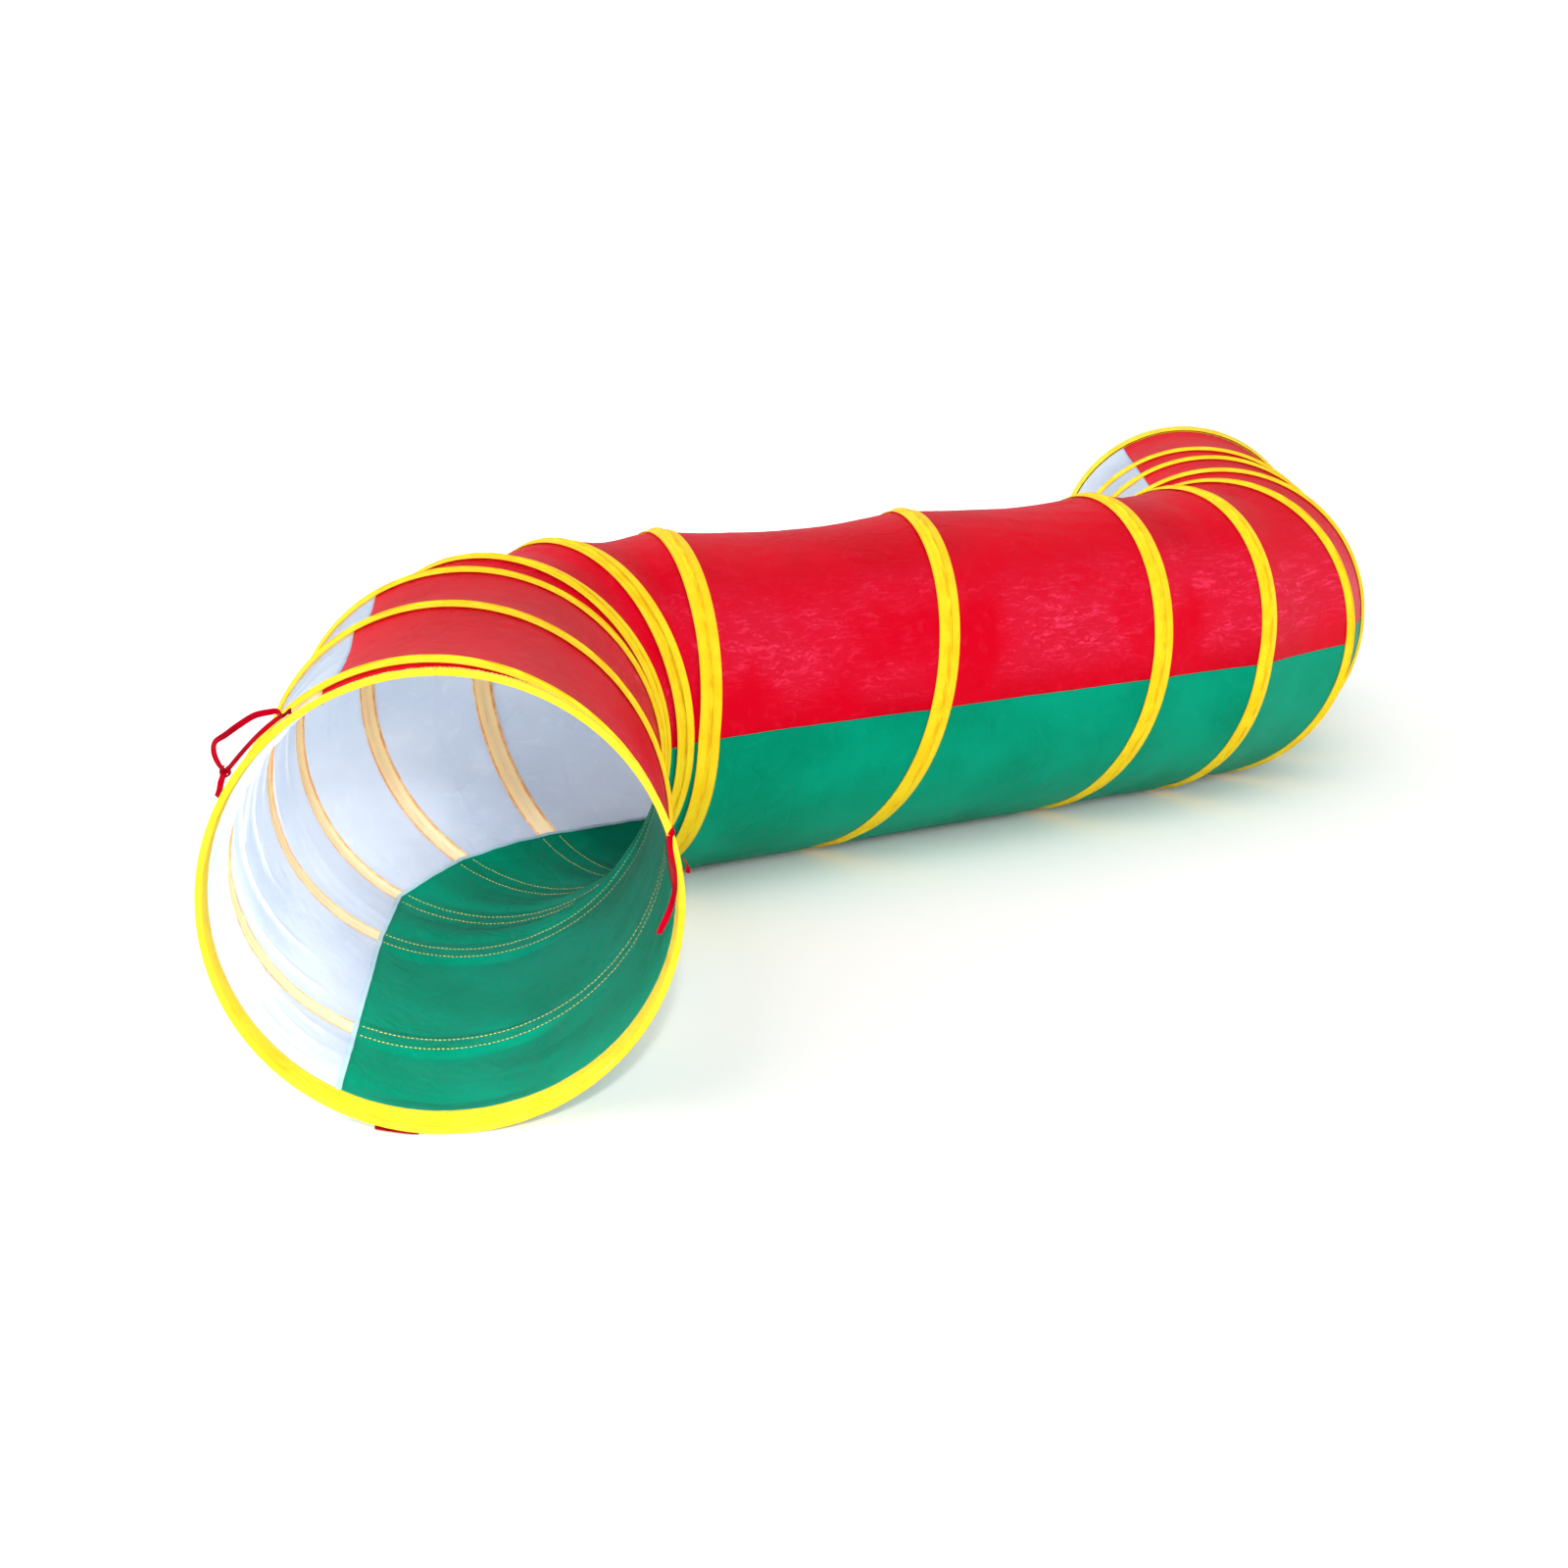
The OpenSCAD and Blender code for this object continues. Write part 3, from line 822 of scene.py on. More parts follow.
def fit_rim(ob, rim, *pieces):
    """The binding rides on its mouth, with a mesh of its own."""
    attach(ob, f"{rim.name}_mouth")
    tuple(rim.inward)
    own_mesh(ob)
    if pieces:
        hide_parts(*pieces)


BINDING_HALF_T = 0.35
OUTER_POINTS = 14  # points of the middle line that move as the outer wall
# middle line of the binding: depth into the tunnel, radius
BINDING_OUTER = [(32.0, 236.1), (31.3, 236.5), (29.8, 237.3), (27.0, 238.0), (22.0, 238.9),
                 (17.0, 239.8), (11.5, 240.7), (7.0, 241.15), (4.3, 241.3)]
BINDING_INNER = [(4.4, 234.8), (8.0, 234.25), (13.0, 233.75), (19.0, 233.5), (26.0, 233.45),
                 (32.0, 233.6)]


def binding_loop():
    """Closed outline of the binding, and which of its points move as the outer wall."""
    bend = [(3.9 - 3.4 * math.cos(turn), 238.05 + 3.25 * math.sin(turn))
            for turn in np.radians(np.linspace(80, -80, 9))]
    middle = np.array(BINDING_OUTER + bend + BINDING_INNER)
    onward = unit(np.gradient(middle, axis=0))
    aside = np.stack([-onward[:, 1], onward[:, 0]], -1) * BINDING_HALF_T
    outer_wall = np.arange(len(middle)) < OUTER_POINTS
    return (np.concatenate([middle + aside, (middle - aside)[::-1]]),
            np.concatenate([outer_wall, outer_wall[::-1]]))


def binding_puckers(rim, angle, depth, outer_wall):
    """Puckers of the binding: change of radius and change of depth."""
    x, y = np.cos(np.radians(angle)), np.sin(np.radians(angle))
    seed = 61 if rim.far else 60
    medium = noise3(x * 21, y * 21, 0.3, seed) * 0.6
    small = noise3(x * 46, y * 46, 0.7, seed + 3) * 0.4
    broad = noise3(x * 5, y * 5, 0.1, seed + 5) * 0.9
    rise = (medium + small) * smooth(depth, 4, 16) * np.where(outer_wall, 1.0, 0.6)
    slump = np.where(outer_wall, 0, np.abs(broad) * 0.5) * smooth(depth, 6, 22)
    rise = np.minimum(rise, 0.35) - slump - lift(angle) * smooth(depth, 5, 31)
    shift = (smooth(depth, 22, 32) * (broad * 1.3 + medium * 1.2)
             - 0.35 * (1 - smooth(depth, 0.6, 3)) * np.abs(medium))
    return rise, shift


def build_binding(rim, material):
    loop, outer_wall = binding_loop()
    around, sharp = 480, 70
    angle = (np.arange(around) / around * 360)[None]
    depth, radius = loop[:, :1], loop[:, 1:]
    rise, shift = binding_puckers(rim, angle, depth, outer_wall[:, None])
    # kept just clear of the floor and inside the rim
    radius = np.minimum(radius + rise, AXIS_Z - 0.05)
    verts = rim_point(rim, angle, radius, np.clip(depth + shift, 0.05, 34.5))
    uv = np.broadcast_arrays(np.radians(angle) * TAPE_R, path_length(loop)[:, None])
    ob = set_mesh(f"{rim.name}_rim_binding", verts, [ring_faces(len(loop), around, closed=True)],
                  material, np.stack(uv, -1), sharp)
    face_outward(ob)
    ob.data.shade_smooth()
    ob.data.set_sharp_from_angle(angle=math.radians(sharp))
    fit_rim(ob, rim, f"{rim.name}_hem")


def build_rim_stitches(rim, material):
    """One row outside the binding and one inside it."""
    random = np.random.default_rng(9 + rim.far)
    count = int(2 * math.pi * 238 / 4.6)
    angle = np.tile(np.arange(count) / count * 360, 2)
    side = np.repeat([1, -1], count)
    radius = np.repeat([238.45 + BINDING_HALF_T, 233.45 - BINDING_HALF_T], count)
    depth = np.concatenate([row + random.normal(0, 0.15, count) for row in (24.5, 26.5)])
    rise, shift = binding_puckers(rim, angle, depth, side > 0)
    radius, depth = radius + rise + 0.08 * side, depth + shift
    centres = rim_point(rim, angle, radius, depth)
    out = (rim_point(rim, angle, radius + 1.0, depth) - centres) * side[:, None]
    onward = unit(rim_point(rim, angle + 0.1, radius, depth) - centres)
    ob = build_stitches(f"{rim.name}_rim_stitches", material, centres, onward,
                        np.cross(onward, out), out, length=3.5, width=0.95, height=0.35)
    face_outward(ob)
    fit_rim(ob, rim)


def build_end_ring(rim, material):
    around, sides = 240, 10
    angle, turn = np.meshgrid(np.arange(around) / around * 360,
                              np.arange(sides) / sides * 2 * math.pi)
    verts = rim_point(rim, angle, WIRE_R + WIRE_D / 2 * np.cos(turn),
                      RIM_RING + WIRE_D / 2 * np.sin(turn))
    faces = ring_faces(sides, around, closed=True)[:, ::-1]
    ob = set_mesh(f"{rim.name}_end_ring", verts, [faces], material)
    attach(ob, f"{rim.name}_mouth")


# ------------------------------------------------------------------ ties at the near rim
# section of a woven tape: shares of its width and thickness
TIE_SECTION = np.array([(-.5, 0), (-.47, .36), (-.38, .5), (-.13, .42), (.13, .42), (.38, .5),
                        (.47, .36), (.5, 0), (.47, -.36), (.38, -.5), (.13, -.42), (-.13, -.42),
                        (-.38, -.5), (-.47, -.36)])


def bottom_path():
    """A short arc under the rim, by the floor."""
    part = np.linspace(0, 1, 7)
    radius, angle = 242.7 + 1.3 * part ** 2, np.radians(172.5 - 10.5 * part)
    return np.stack([radius * np.sin(angle), radius * np.cos(angle), 7 - 3.5 * part], -1)


# path points in mm, and the direction across the tape at each, along the rim's own axes
# (left, up, inward)
TIES = [
    # by the red and white seam: this strand stands away from the rim
    dict(name="tie_top_outer_strand", body="tie_top", width=6.4, piece="tie_top",
         path=[(147, 195.6, 7), (151, 201, 5), (158, 201, 3), (173, 198, 1), (188, 189, 1),
               (202, 179, 2), (212, 172, 3), (214, 162, 4), (211, 151, 5), (205, 141, 6)],
         across=[(.2, .3, .9), (.1, .6, .8), (0, .9, .5), (.2, .9, .3), (.3, .9, .2),
                 (.4, .8, .4), (.7, .4, .6), (.9, 0, .4), (.9, -.2, .4), (.7, -.3, .6)]),
    dict(name="tie_top_inner_strand", body="tie_top", width=5.6,
         path=[(144, 197, 11), (152, 193, 9), (162, 185.5, 6), (173, 176, 4), (184, 164.5, 3),
               (194, 153, 4), (204, 141, 7)],
         across=[(.1, .3, .9), (.4, .5, .7), (.5, .6, .5), (.5, .5, .6), (.6, .4, .6),
                 (.7, .3, .6), (.6, .2, .7)]),
    dict(name="tie_top_tail", body="tie_top", width=6.4,
         path=[(201, 146, 7), (206, 139, 5), (209, 131, 4), (211, 123, 5), (214, 116, 7)],
         across=[(.7, -.1, .6), (.9, .1, .4), (.95, .2, .2), (.9, .3, .3), (.8, .3, .5)]),
    dict(name="tie_top_knot", body="tie_top", width=5.0, thick=1.1,
         path=[(205, 147, 3.5), (209.5, 143, 6), (208, 137, 9), (202.5, 136.5, 8),
               (200.5, 142, 5), (205, 145, 3.2), (208.6, 140, 5.5)],
         across=[(.3, .3, .9), (.1, .1, 1), (-.2, .4, .9), (-.4, .1, .9), (-.3, -.3, .9),
                 (.1, -.2, 1), (.3, .2, .9)]),
    dict(name="tie_top_root", body="near_mouth", width=8.5, thick=1.2,
         path=[(139.5, 199.5, 14), (143.5, 198.2, 12), (147.5, 196.4, 9), (150.5, 196.5, 6)],
         across=[(.5, -.7, .2), (.45, -.6, .4), (.3, -.3, .8), (.2, .2, .9)]),
    # the tie that hangs in front of the rim, on its right
    dict(name="tie_side_fold", body="near_mouth", width=6.2,
         path=[(-230.6, 76.5, 9), (-230.4, 76.3, 2.2), (-228.9, 74.7, -0.9),
               (-226.6, 71.2, -1.7)],
         across=[(.31, .95, .1), (.31, .95, .1), (.6, .7, .2), (.95, .1, .3)]),
    dict(name="tie_side_tape", body="tie_side", width=6.4, piece="tie_side",
         path=[(-226.4, 71, -1.8), (-226.4, 66, -2.2), (-226.8, 58, -2.4), (-228.6, 47, -2.6),
               (-231.0, 34, -2.4), (-231.0, 18, -2.8), (-228.3, 4, -3.6), (-224, -9, -4.6),
               (-217, -24, -4.2), (-214.6, -30, -3.2)],
         across=[(.95, .1, .3), (.9, 0, .35), (.8, 0, .5), (.7, 0, .6), (.6, 0, .8),
                 (.7, 0, .7), (.8, .1, .5), (.9, .3, .2), (.9, .3, -.1), (.9, .3, -.3)]),
    dict(name="tie_side_end", body="near_mouth", width=6.2,
         path=[(-240.6, 44, 10), (-242.9, 40, 6), (-244.2, 35.5, 3.5), (-243.8, 31, 2.2)],
         across=[(.2, .2, .9), (.2, .4, .9), (.5, .3, .8), (.7, .2, .6)]),
    # pressed flat by the floor
    dict(name="tie_bottom_tape", body="near_mouth", width=8.0, thick=0.9, piece="tie_bottom",
         path=bottom_path(), across=[(.15, .1, 1)] * 7),
]


def curve(points, steps=7):
    """A Catmull-Rom curve through control points."""
    points = np.asarray(points, float)
    padded = np.concatenate([[2 * points[0] - points[1]], points,
                             [2 * points[-1] - points[-2]]])
    result = []
    for before, here, after, beyond in zip(padded, padded[1:], padded[2:], padded[3:]):
        for part in np.arange(steps) / steps:
            result.append(0.5 * (2 * here + (after - before) * part
                                 + (2 * before - 5 * here + 4 * after - beyond) * part * part
                                 + (3 * here - before - 3 * after + beyond) * part ** 3))
    return np.array(result + [points[-1]])


def build_tie(material, name, body, width, path, across, thick=1.0, piece=None):
    path, across = curve(path), curve(across)
    onward = unit(np.gradient(path, axis=0))
    across = unit(across - (across * onward).sum(1)[:, None] * onward)
    raised = np.cross(onward, across)
    wide, high = TIE_SECTION[:, 0] * width, TIE_SECTION[:, 1] * thick
    ring = path[:, None] + wide[:, None] * across[:, None] + high[:, None] * raised[:, None]
    verts = rim_place(NEAR, ring[..., 0], ring[..., 1], ring[..., 2])
    rings, around = verts.shape[:2]
    first = np.arange(around)
    caps = [[end[i], end[i + 1], end[around - 2 - i], end[around - 1 - i]]
            for end in (first[::-1], first + (rings - 1) * around)
            for i in range(around // 2 - 1)]
    uv = np.stack(np.broadcast_arrays(path_length(path)[:, None], wide), -1)
    ob = set_mesh(name, verts, [ring_faces(rings, around), caps], material, uv, sharp=60)
    face_outward(ob)
    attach(ob, body)
    if piece:
        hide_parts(piece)


# ------------------------------------------------------------------ materials
class Shader:
    """A material built node by node; inputs may be numbers, colours or sockets."""

    def __init__(self, name, colour=None):
        self.material = bpy.data.materials.new(name)
        self.material.use_nodes = True
        self.tree = self.material.node_tree
        self.tree.nodes.clear()
        if colour:
            self.material.diffuse_color = colour

    def node(self, kind, inputs=None, output=0, **properties):
        """Adds a node and returns one of its outputs."""
        node = self.tree.nodes.new("ShaderNode" + kind)
        for key, value in properties.items():
            setattr(node, key, value)
        for key, value in (inputs or {}).items():
            if isinstance(value, bpy.types.NodeSocket):
                self.tree.links.new(value, node.inputs[key])
            else:
                node.inputs[key].default_value = value
        return node.outputs[output]

    def math(self, operation, first, second, clamp=False):
        return self.node("Math", {0: first, 1: second}, operation=operation, use_clamp=clamp)

    def times(self, first, second, clamp=False):
        return self.math("MULTIPLY", first, second, clamp)

    def plus(self, first, second, clamp=False):
        return self.math("ADD", first, second, clamp)

    def inverse(self, value):
        return self.math("SUBTRACT", 1.0, value)

    def mix(self, share, first, second):
        """Colour mix; sockets 6 and 7 are the colours and output 2 the result."""
        return self.node("Mix", {0: share, 6: first, 7: second}, output=2, data_type="RGBA")

    def ramp(self, value, low, high):
        """0 at low, 1 at high, eased between."""
        return self.node("MapRange", {"Value": value, "From Min": low, "From Max": high},
                         interpolation_type="SMOOTHSTEP")

    def noise(self, vector, scale, detail, **inputs):
        return self.node("TexNoise", {"Vector": vector, "Scale": scale, "Detail": detail,
                                      **inputs})

    def bump(self, height, strength, distance, **inputs):
        return self.node("Bump", {"Strength": strength, "Distance": distance,
                                  "Height": height, **inputs})

    def finish(self, shader):
        output = self.tree.nodes.new("ShaderNodeOutputMaterial")
        self.tree.links.new(shader, output.inputs[0])
        return self.material


def rgba(red, green, blue):
    """A screen colour, 0 to 255, as linear light."""
    def linear(level):
        return level / 12.92 if level <= 0.04045 else ((level + 0.055) / 1.055) ** 2.4
    return tuple(linear(level / 255) for level in (red, green, blue)) + (1.0,)


def weave_threads(shader, uv):
    """Two sets of threads at right angles."""
    warp, weft = [
        shader.node("TexWave", {"Vector": uv, "Scale": 330.0, "Distortion": 0.4, "Detail": 0.0},
                    output="Fac", wave_type="BANDS", bands_direction=direction,
                    wave_profile="SIN") for direction in ("X", "Y")]
    return shader.times(warp, weft)


def strip_streaks(shader, uv, warped, soft, strip):
    """Patchy slanting highlights in a strip, given in metres around the tube from the top."""
    times, ramp = shader.times, shader.ramp
    around = shader.node("SeparateXYZ", {0: uv})
    inside = times(ramp(around, low=strip[0], high=strip[0] + 0.07),
                   shader.inverse(ramp(around, low=strip[1] - 0.12, high=strip[1])))
    slanted = shader.node("Mapping", {"Rotation": (0, 0, 0.62), "Scale": (110, 26, 1),
                                      "Vector": warped})
    streak = shader.noise(slanted, scale=1.0, detail=4.0, Roughness=0.68, Distortion=1.6)
    return times(times(inside, ramp(soft, low=0.36, high=0.58)),
                 shader.plus(times(ramp(streak, low=0.48, high=0.74), 0.62), 0.16))


def paint_fold_and_sleeve_light(shader, colour, fine, painted_sleeve_band):
    """Paints highlight on the fold ridges and shade in the troughs beside them, and paints the band
    where the sleeve lies behind.

    Returns the colour and the band.
    """
    times, ramp = shader.times, shader.ramp
    # painted highlight on the fold ridges and painted shade in the troughs beside them
    ridge = shader.node("Attribute", output="Fac", attribute_name="fold")
    colour = shader.mix(times(ridge, 0.9, clamp=True), colour, (1.0, 1.0, 1.0, 1.0))
    colour = shader.mix(times(ridge, -0.9, clamp=True), colour, rgba(186, 202, 224))
    off = shader.node("Attribute", output="Fac", attribute_name="off_wire")
    band = shader.inverse(ramp(off, low=0.93, high=1.06))
    # the band is painted light, cream in the middle; its orange is stronger at the band's edges and
    # over the wire, as painted shade of the wire there, broken up by the fine noise
    rims = shader.plus(ramp(off, low=0.62, high=0.92),
                       times(shader.inverse(ramp(off, low=0.04, high=0.16)), 0.25), clamp=True)
    rims = times(rims, shader.plus(0.2, ramp(fine, low=0.34, high=0.62)), clamp=True)
    painted_sleeve_light = shader.mix(rims, painted_sleeve_band["middle"], painted_sleeve_band["edge"])
    return shader.mix(times(band, 0.92), colour, painted_sleeve_light), band


def nylon(name, base, lit, dark, translucent, sheen=0.05, crinkle=1.0, gloss=0.3, painted_sheen=0.3,
          strip=None, painted_sleeve_band=None):
    """Thin woven nylon: weave threads, sharp crinkles, uneven sheen painted in patches, and light
    coming through.

    strip is where highlights are painted on the crinkles. The sleeve band setting holds the two
    colours of light painted where the sleeve lies behind, its painted glow, and how clear the cloth
    is.
    """
    shader = Shader(name, base)
    node, times, ramp, mix = shader.node, shader.times, shader.ramp, shader.mix
    uv = node("UVMap", uv_map="UVMap")
    soft = shader.noise(uv, scale=5.0, detail=3.0, Roughness=0.5)
    fine = shader.noise(uv, scale=42.0, detail=5.0, Roughness=0.62, Distortion=0.7)
    warped = node("VectorMath", {0: fine.node.outputs["Color"], 1: (0.018, 0.018, 0.018), 2: uv},
                  operation="MULTIPLY_ADD")
    fold = node("TexVoronoi", {"Vector": warped, "Scale": 19.0, "Randomness": 1.0},
                feature="DISTANCE_TO_EDGE")
    crease = times(ramp(fold, low=0.0, high=0.09), times(ramp(soft, low=0.42, high=0.62), 0.5))
    weave = weave_threads(shader, uv)
    bump = shader.bump(shader.plus(crease, times(fine, 0.9)), strength=0.5 * crinkle,
                       distance=0.0016)
    woven = shader.bump(weave, strength=0.12, distance=0.0002, Normal=bump)
    colour = mix(ramp(soft, low=0.35, high=0.7), base, dark)
    # painted highlights: patches of the lit colour stand in for sheen; on the red, painted highlight
    # streaks in a strip are added
    painted_highlights = times(ramp(fine, low=0.52, high=0.7), painted_sheen)
    if strip:
        painted_highlights = shader.math("MAXIMUM", painted_highlights, strip_streaks(shader, uv, warped, soft, strip))
    colour = mix(painted_highlights, colour, lit)
    colour = mix(times(shader.inverse(weave), 0.10), colour, dark)
    if painted_sleeve_band:
        colour, band = paint_fold_and_sleeve_light(shader, colour, fine, painted_sleeve_band)
    cloth = node("BsdfPrincipled", {
        "Base Color": colour, "Roughness": shader.plus(0.34, times(fine, 0.22)),
        "Specular IOR Level": gloss, "Specular Tint": lit, "Sheen Weight": sheen,
        "Sheen Roughness": 0.45, "Sheen Tint": lit, "Normal": woven})
    through = node("BsdfTranslucent", {"Color": colour, "Normal": bump})
    result = node("MixShader", {0: translucent, 1: cloth, 2: through})
    if painted_sleeve_band:
        # a faint painted glow on the sleeve band, though nothing there is a lamp
        glow = node("Emission", {0: colour, 1: times(band, painted_sleeve_band["glow"])})
        lit_cloth = node("AddShader", {0: result, 1: glow})
        clear = times(shader.inverse(times(band, 0.6)), painted_sleeve_band["clear"])
        result = node("MixShader", {0: clear, 1: lit_cloth, 2: node("BsdfTransparent")})
    return shader.finish(result)


def tape(name, base, edge, deep=None, translucent=0.2, rough=0.4, ribs=350.0, painted_wire_shade=0.0,
         wrinkle=0.5):
    """Satin tape with ribs across it; the wire option paints the wire's shade on it in patches over
    the wire, and darkens it at its edges by the thread.
    """
    shader = Shader(name, base)
    node, times, ramp, mix = shader.node, shader.times, shader.ramp, shader.mix
    uv = node("UVMap", uv_map="UVMap")
    blot = shader.noise(uv, scale=26.0, detail=4.0, Roughness=0.6)
    stretched = node("Mapping", {"Scale": (38, 300, 1), "Vector": uv})
    streaks = shader.noise(stretched, scale=1.0, detail=3.0)
    rib = node("TexWave", {"Vector": uv, "Scale": ribs, "Distortion": 0.3}, output="Fac",
               wave_type="BANDS", bands_direction="X", wave_profile="SIN")
    colour = mix(ramp(blot, low=0.38, high=0.68), base, edge)
    if painted_wire_shade:
        off = shader.node("Math", {0: node("SeparateXYZ", {0: uv}, output=1)},
                          operation="ABSOLUTE")
        # painted shade of the wire inside, in patches along the middle of the tape
        band = shader.inverse(ramp(off, low=0.0008, high=0.0042))
        patch = times(ramp(streaks, low=0.40, high=0.60), painted_wire_shade)
        colour = mix(times(band, patch), colour, deep)
        # darker edges by the thread, in the same deep colour
        colour = mix(times(ramp(off, low=0.0128, high=0.0149), 0.55), colour, deep)
    height = shader.plus(times(rib, 0.12), times(streaks, 1.0))
    satin = node("BsdfPrincipled", {
        "Base Color": colour, "Roughness": shader.plus(rough - 0.06, times(blot, 0.18)),
        "Specular IOR Level": 0.15, "Specular Tint": base, "Sheen Weight": 0.03,
        "Sheen Roughness": 0.4,
        "Normal": shader.bump(height, strength=wrinkle, distance=0.001)})
    through = node("BsdfTranslucent", {"Color": colour})
    return shader.finish(node("MixShader", {0: translucent, 1: satin, 2: through}))


def thread(name, base, dark):
    """Twisted polyester thread."""
    shader = Shader(name, base)
    place = shader.node("TexCoord", output="Object")
    grain = shader.noise(place, scale=900.0, detail=2.0)
    return shader.finish(shader.node("BsdfPrincipled", {
        "Base Color": shader.mix(shader.ramp(grain, low=0.35, high=0.65), base, dark),
        "Roughness": 0.45, "Sheen Weight": 0.3,
        "Normal": shader.bump(grain, strength=0.3, distance=0.0002)}))


def steel(name, base, rough):
    """Drawn wire: fine grain and a faint film of oil."""
    shader = Shader(name, base)
    place = shader.node("TexCoord", output="Object")
    grain = shader.noise(place, scale=240.0, detail=4.0, Roughness=0.7)
    film = shader.noise(place, scale=14.0, detail=2.0)
    darker = tuple(level * 0.72 for level in base[:3]) + (1,)
    return shader.finish(shader.node("BsdfPrincipled", {
        "Metallic": 1.0,
        "Base Color": shader.mix(shader.ramp(film, low=0.4, high=0.7), base, darker),
        "Roughness": shader.plus(rough - 0.1, shader.times(grain, 0.25)),
        "Normal": shader.bump(grain, strength=0.15, distance=0.0001)}))


# every nylon gets painted highlight patches in its lit colour; the red also gets painted highlight
# streaks low on its side
RED = nylon("red_nylon_taffeta", base=rgba(204, 0, 28), lit=rgba(240, 66, 106),
            dark=rgba(190, 0, 24), translucent=0.22, strip=(-0.375, -0.115), painted_sheen=0.10,
            gloss=0.10, sheen=0.02)
GREEN = nylon("green_nylon_taffeta", base=rgba(0, 162, 128), lit=rgba(14, 184, 150),
              dark=rgba(0, 142, 108), translucent=0.34, painted_sheen=0.16, gloss=0.08, sheen=0.02)
# the white has painted fold highlight and shade, and the sleeve behind it painted as a band of light
# with a faint painted glow
WHITE = nylon("white_nylon_taffeta", base=rgba(222, 230, 241), lit=rgba(236, 242, 249),
              dark=rgba(208, 219, 234), translucent=0.62,
              painted_sleeve_band=dict(middle=rgba(255, 250, 228), edge=rgba(250, 196, 124), glow=0.12,
                           clear=0.14))
# the sleeve's deep colour is painted shade of the wire along its middle, and also darkens its edges
SLEEVE = tape("yellow_satin_tape", base=rgba(255, 234, 44), edge=rgba(255, 222, 30),
              deep=rgba(240, 172, 20), translucent=0.45, painted_wire_shade=0.7)
BINDING = tape("yellow_rim_binding", base=rgba(240, 216, 48), edge=rgba(236, 200, 36),
               translucent=0.25, wrinkle=0.9)
TIE = tape("dark_red_tie_tape", base=rgba(152, 0, 22), edge=rgba(124, 0, 15),
           translucent=0.10, rough=0.6, ribs=450.0)
YELLOW_THREAD = thread("yellow_thread", base=rgba(250, 226, 90), dark=rgba(226, 196, 50))
ALLOWANCE = nylon("white_seam_allowance", base=rgba(206, 236, 242), lit=rgba(228, 248, 250),
                  dark=rgba(186, 222, 232), translucent=0.35, crinkle=0.7)
STEEL = steel("spring_steel", base=(0.62, 0.63, 0.66, 1), rough=0.38)
CRIMP = steel("plated_crimp", base=(0.75, 0.75, 0.77, 1), rough=0.42)
PALE_THREAD = thread("pale_thread", base=rgba(226, 232, 236), dark=rgba(196, 206, 214))
RED_THREAD = thread("red_thread", base=rgba(190, 10, 30), dark=rgba(150, 0, 20))

# ------------------------------------------------------------------ build
for length in LENGTHS:
    for colour, material in (("red", RED), ("white", WHITE), ("green", GREEN)):
        build_panel(colour, length, material)
    build_sleeve(length, SLEEVE)
    build_wire(length, STEEL)
build_sleeve_threads(YELLOW_THREAD)
# seam, then material and slot of its allowance and of its thread
for which, cloth, cloth_slot, yarn, yarn_slot in (
        ("rg", GREEN, "green_nylon", RED_THREAD, "red_nylon"),
        ("rw", ALLOWANCE, "white_nylon", PALE_THREAD, "white_nylon"),
        ("wg", ALLOWANCE, "white_nylon", PALE_THREAD, "white_nylon")):
    for length in LENGTHS:
        build_seam(which, length, cloth, cloth_slot)
        build_seam_thread(which, length, yarn, yarn_slot)
for rim in (NEAR, FAR):
    build_binding(rim, BINDING)
    build_rim_stitches(rim, YELLOW_THREAD)
    build_end_ring(rim, STEEL)
for tie in TIES:
    build_tie(TIE, **tie)
for name in ("near_crimp", "far_crimp"):
    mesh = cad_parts[name].data
    mesh.materials.clear()
    mesh.materials.append(CRIMP)


# ------------------------------------------------------------------ stage, light and camera
def build_floor(half=40):
    """A matt white floor, half its side in metres."""
    mesh = bpy.data.meshes.new("floor")
    corners = [(-half, -half, 0), (half, -half, 0), (half, half, 0), (-half, half, 0)]
    mesh.from_pydata(corners, [], [(0, 1, 2, 3)])
    ob = bpy.data.objects.new("floor", mesh)
    bpy.context.scene.collection.objects.link(ob)
    shader = Shader("white_floor")
    mesh.materials.append(shader.finish(shader.node("BsdfPrincipled", {
        "Base Color": (0.96, 0.96, 0.96, 1), "Roughness": 0.9, "Specular IOR Level": 0.1})))


def build_world(light=0.80, seen=1.05):
    """A white world: light is its strength on the scene, seen its strength to the camera."""
    world = bpy.data.worlds.new("studio")
    world.use_nodes = True
    nodes, link = world.node_tree.nodes, world.node_tree.links.new
    lighting, backdrop = nodes["Background"], nodes.new("ShaderNodeBackground")
    for background, strength in ((lighting, light), (backdrop, seen)):
        background.inputs[0].default_value = (1.0, 1.0, 1.0, 1)
        background.inputs[1].default_value = strength
    ray, pick = nodes.new("ShaderNodeLightPath"), nodes.new("ShaderNodeMixShader")
    link(ray.outputs["Is Camera Ray"], pick.inputs[0])
    link(lighting.outputs[0], pick.inputs[1])
    link(backdrop.outputs[0], pick.inputs[2])
    link(pick.outputs[0], nodes["World Output"].inputs[0])
    bpy.context.scene.world = world


def direction(heading, drop):
    """Unit vector towards a heading, dropping by an angle, in degrees."""
    turn, rise = math.radians(heading), math.radians(-drop)
    return Vector((math.cos(turn) * math.cos(rise), math.sin(turn) * math.cos(rise),
                   math.sin(rise)))


def add_light(name, kind, way, **settings):
    """A light shining along way."""
    light = bpy.data.lights.new(name, kind)
    for key, value in settings.items():
        setattr(light, key, value)
    ob = bpy.data.objects.new(name, light)
    bpy.context.scene.collection.objects.link(ob)
    ob.rotation_mode = "QUATERNION"
    ob.rotation_quaternion = way.to_track_quat("-Z", "Y")
    return ob


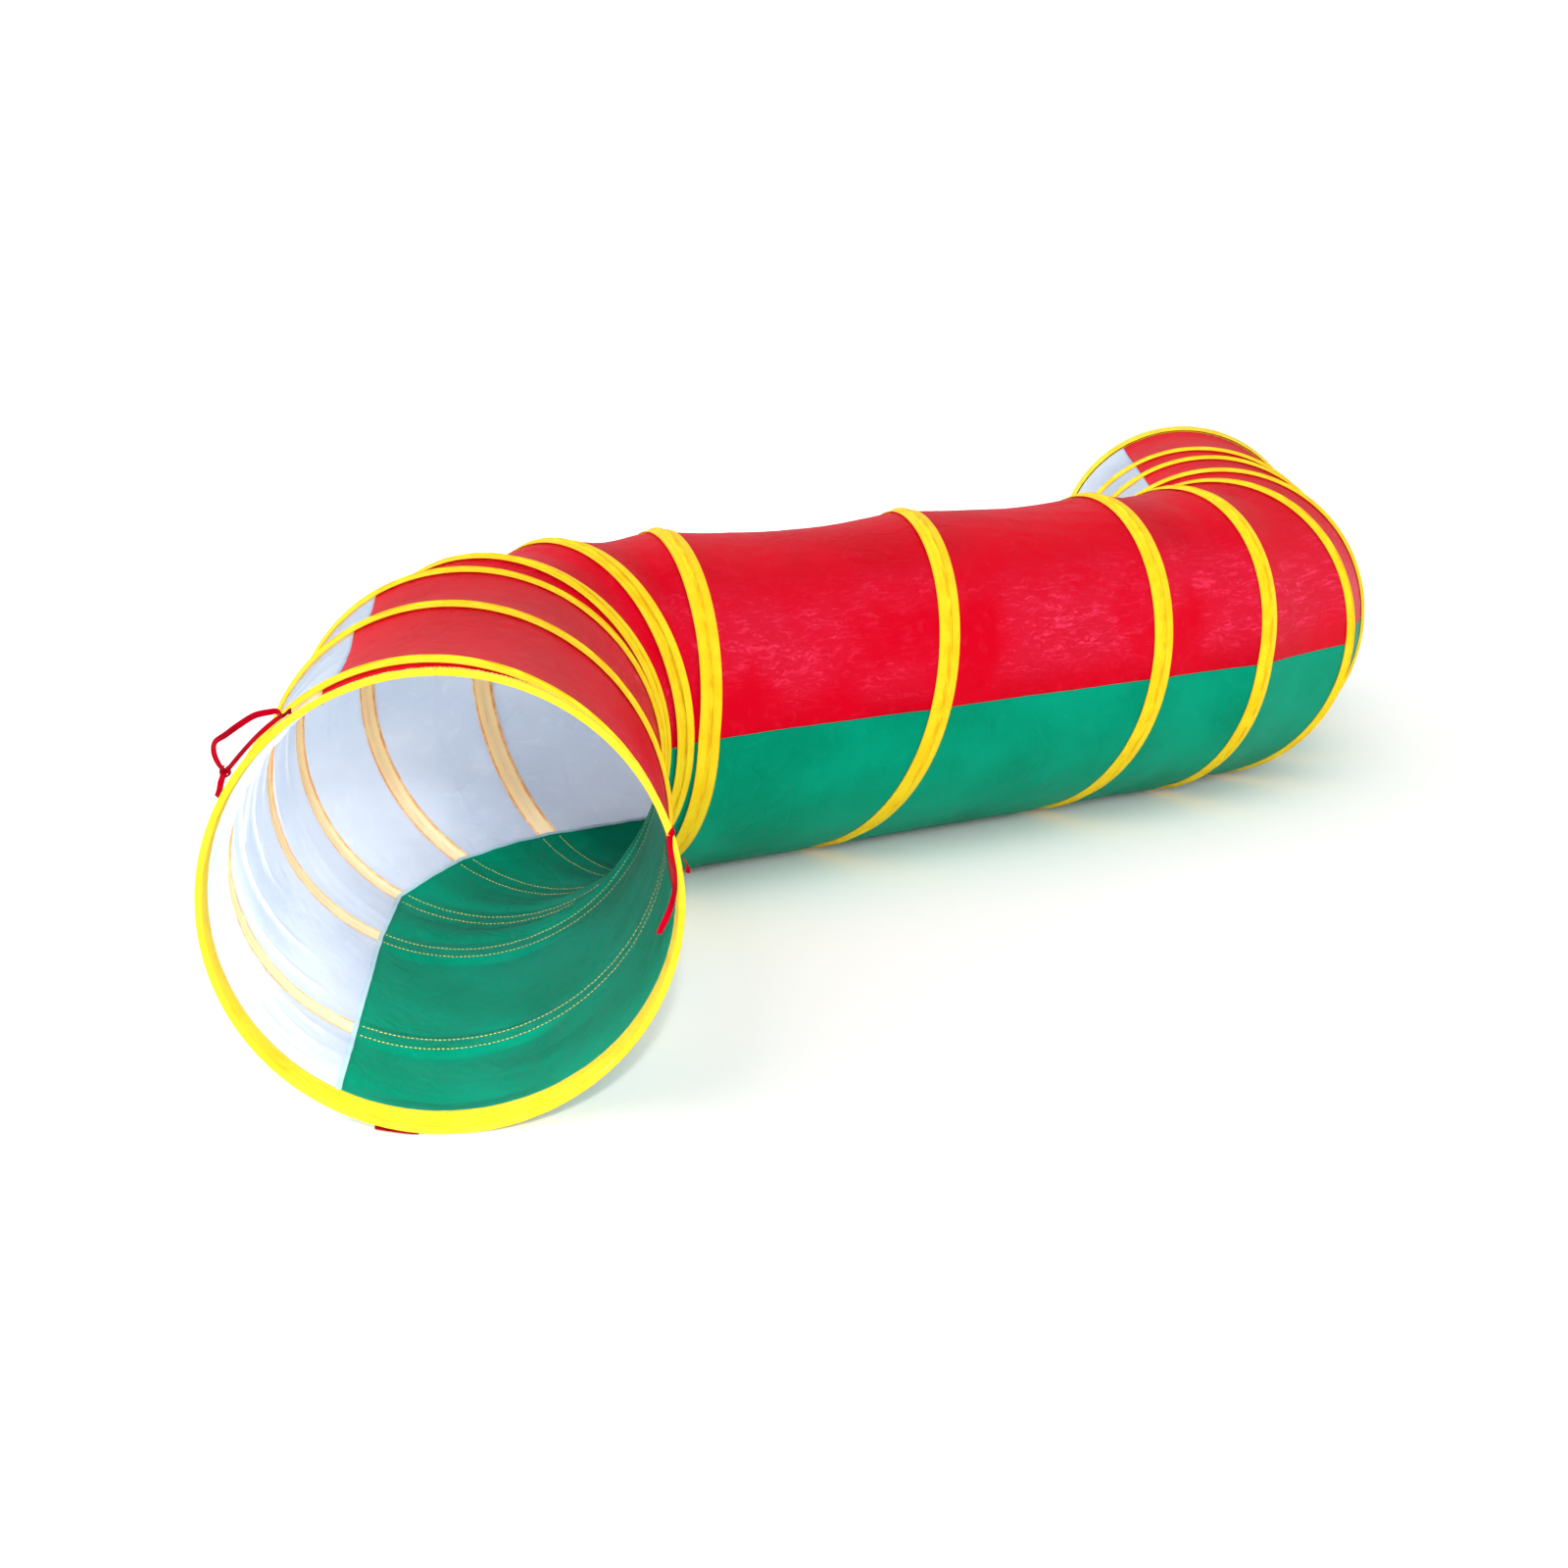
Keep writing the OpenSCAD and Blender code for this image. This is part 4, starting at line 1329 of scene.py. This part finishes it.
def build_lights():
    # broad distant softboxes: heading, drop, strength and angular size in degrees
    for name, heading, drop, strength, size in (("overhead_softbox", 60, 62, 0.5, 50),
                                                ("front_softbox", 66, 18, 1.3, 26),
                                                ("right_softbox", 98, 24, 0.9, 30),
                                                ("back_left_softbox", -32, 22, 2.8, 30)):
        add_light(name, "SUN", direction(heading, drop), energy=strength,
                  angle=math.radians(size))
    # a round panel 110 mm in front of the near mouth, shining in
    panel = add_light("mouth_fill", "AREA", Vector(NEAR.inward), shape="DISK", size=0.42,
                      energy=0.46)
    panel.location = Vector((NEAR.origin - NEAR.inward * 110) / 1000)
    panel.visible_camera = False
    # narrow spots 2 m from the near mouth, just filling it
    distance, mouth_radius = 2.0, 0.225
    for name, heading, drop, power in (("mouth_spot_right", 84, 15, 95),
                                       ("mouth_spot_high", 67, 25, 300)):
        way = direction(heading, drop)
        lamp = add_light(name, "SPOT", way, energy=power, shadow_soft_size=0.12,
                         spot_blend=0.25, spot_size=2 * math.atan(mouth_radius / distance))
        lamp.location = Vector(NEAR.origin / 1000) - distance * way


def build_camera(place=(-1.85111, -2.77257, 0.9311), yaw=32.1344, pitch=-14.3503, roll=0.2368):
    """place in metres; yaw in degrees from +Y towards +X, pitch upwards."""
    data = bpy.data.cameras.new("camera")
    camera = bpy.data.objects.new("camera", data)
    bpy.context.scene.collection.objects.link(camera)
    data.lens, data.sensor_width = 53.117, 36.0
    data.clip_start, data.clip_end = 0.05, 200
    yaw, pitch, roll = math.radians(yaw), math.radians(pitch), math.radians(roll)
    ahead = Vector((math.sin(yaw) * math.cos(pitch), math.cos(yaw) * math.cos(pitch),
                    math.sin(pitch)))
    level = Vector((math.cos(yaw), -math.sin(yaw), 0))
    upright = level.cross(ahead)
    right = level * math.cos(roll) + upright * math.sin(roll)
    up = -level * math.sin(roll) + upright * math.cos(roll)
    rows = [(right[i], up[i], -ahead[i], place[i]) for i in range(3)]
    camera.matrix_world = Matrix((*rows, (0, 0, 0, 1)))
    bpy.context.scene.camera = camera


build_floor()
build_world()
build_lights()
build_camera()
bpy.context.scene.view_settings.view_transform = "Standard"
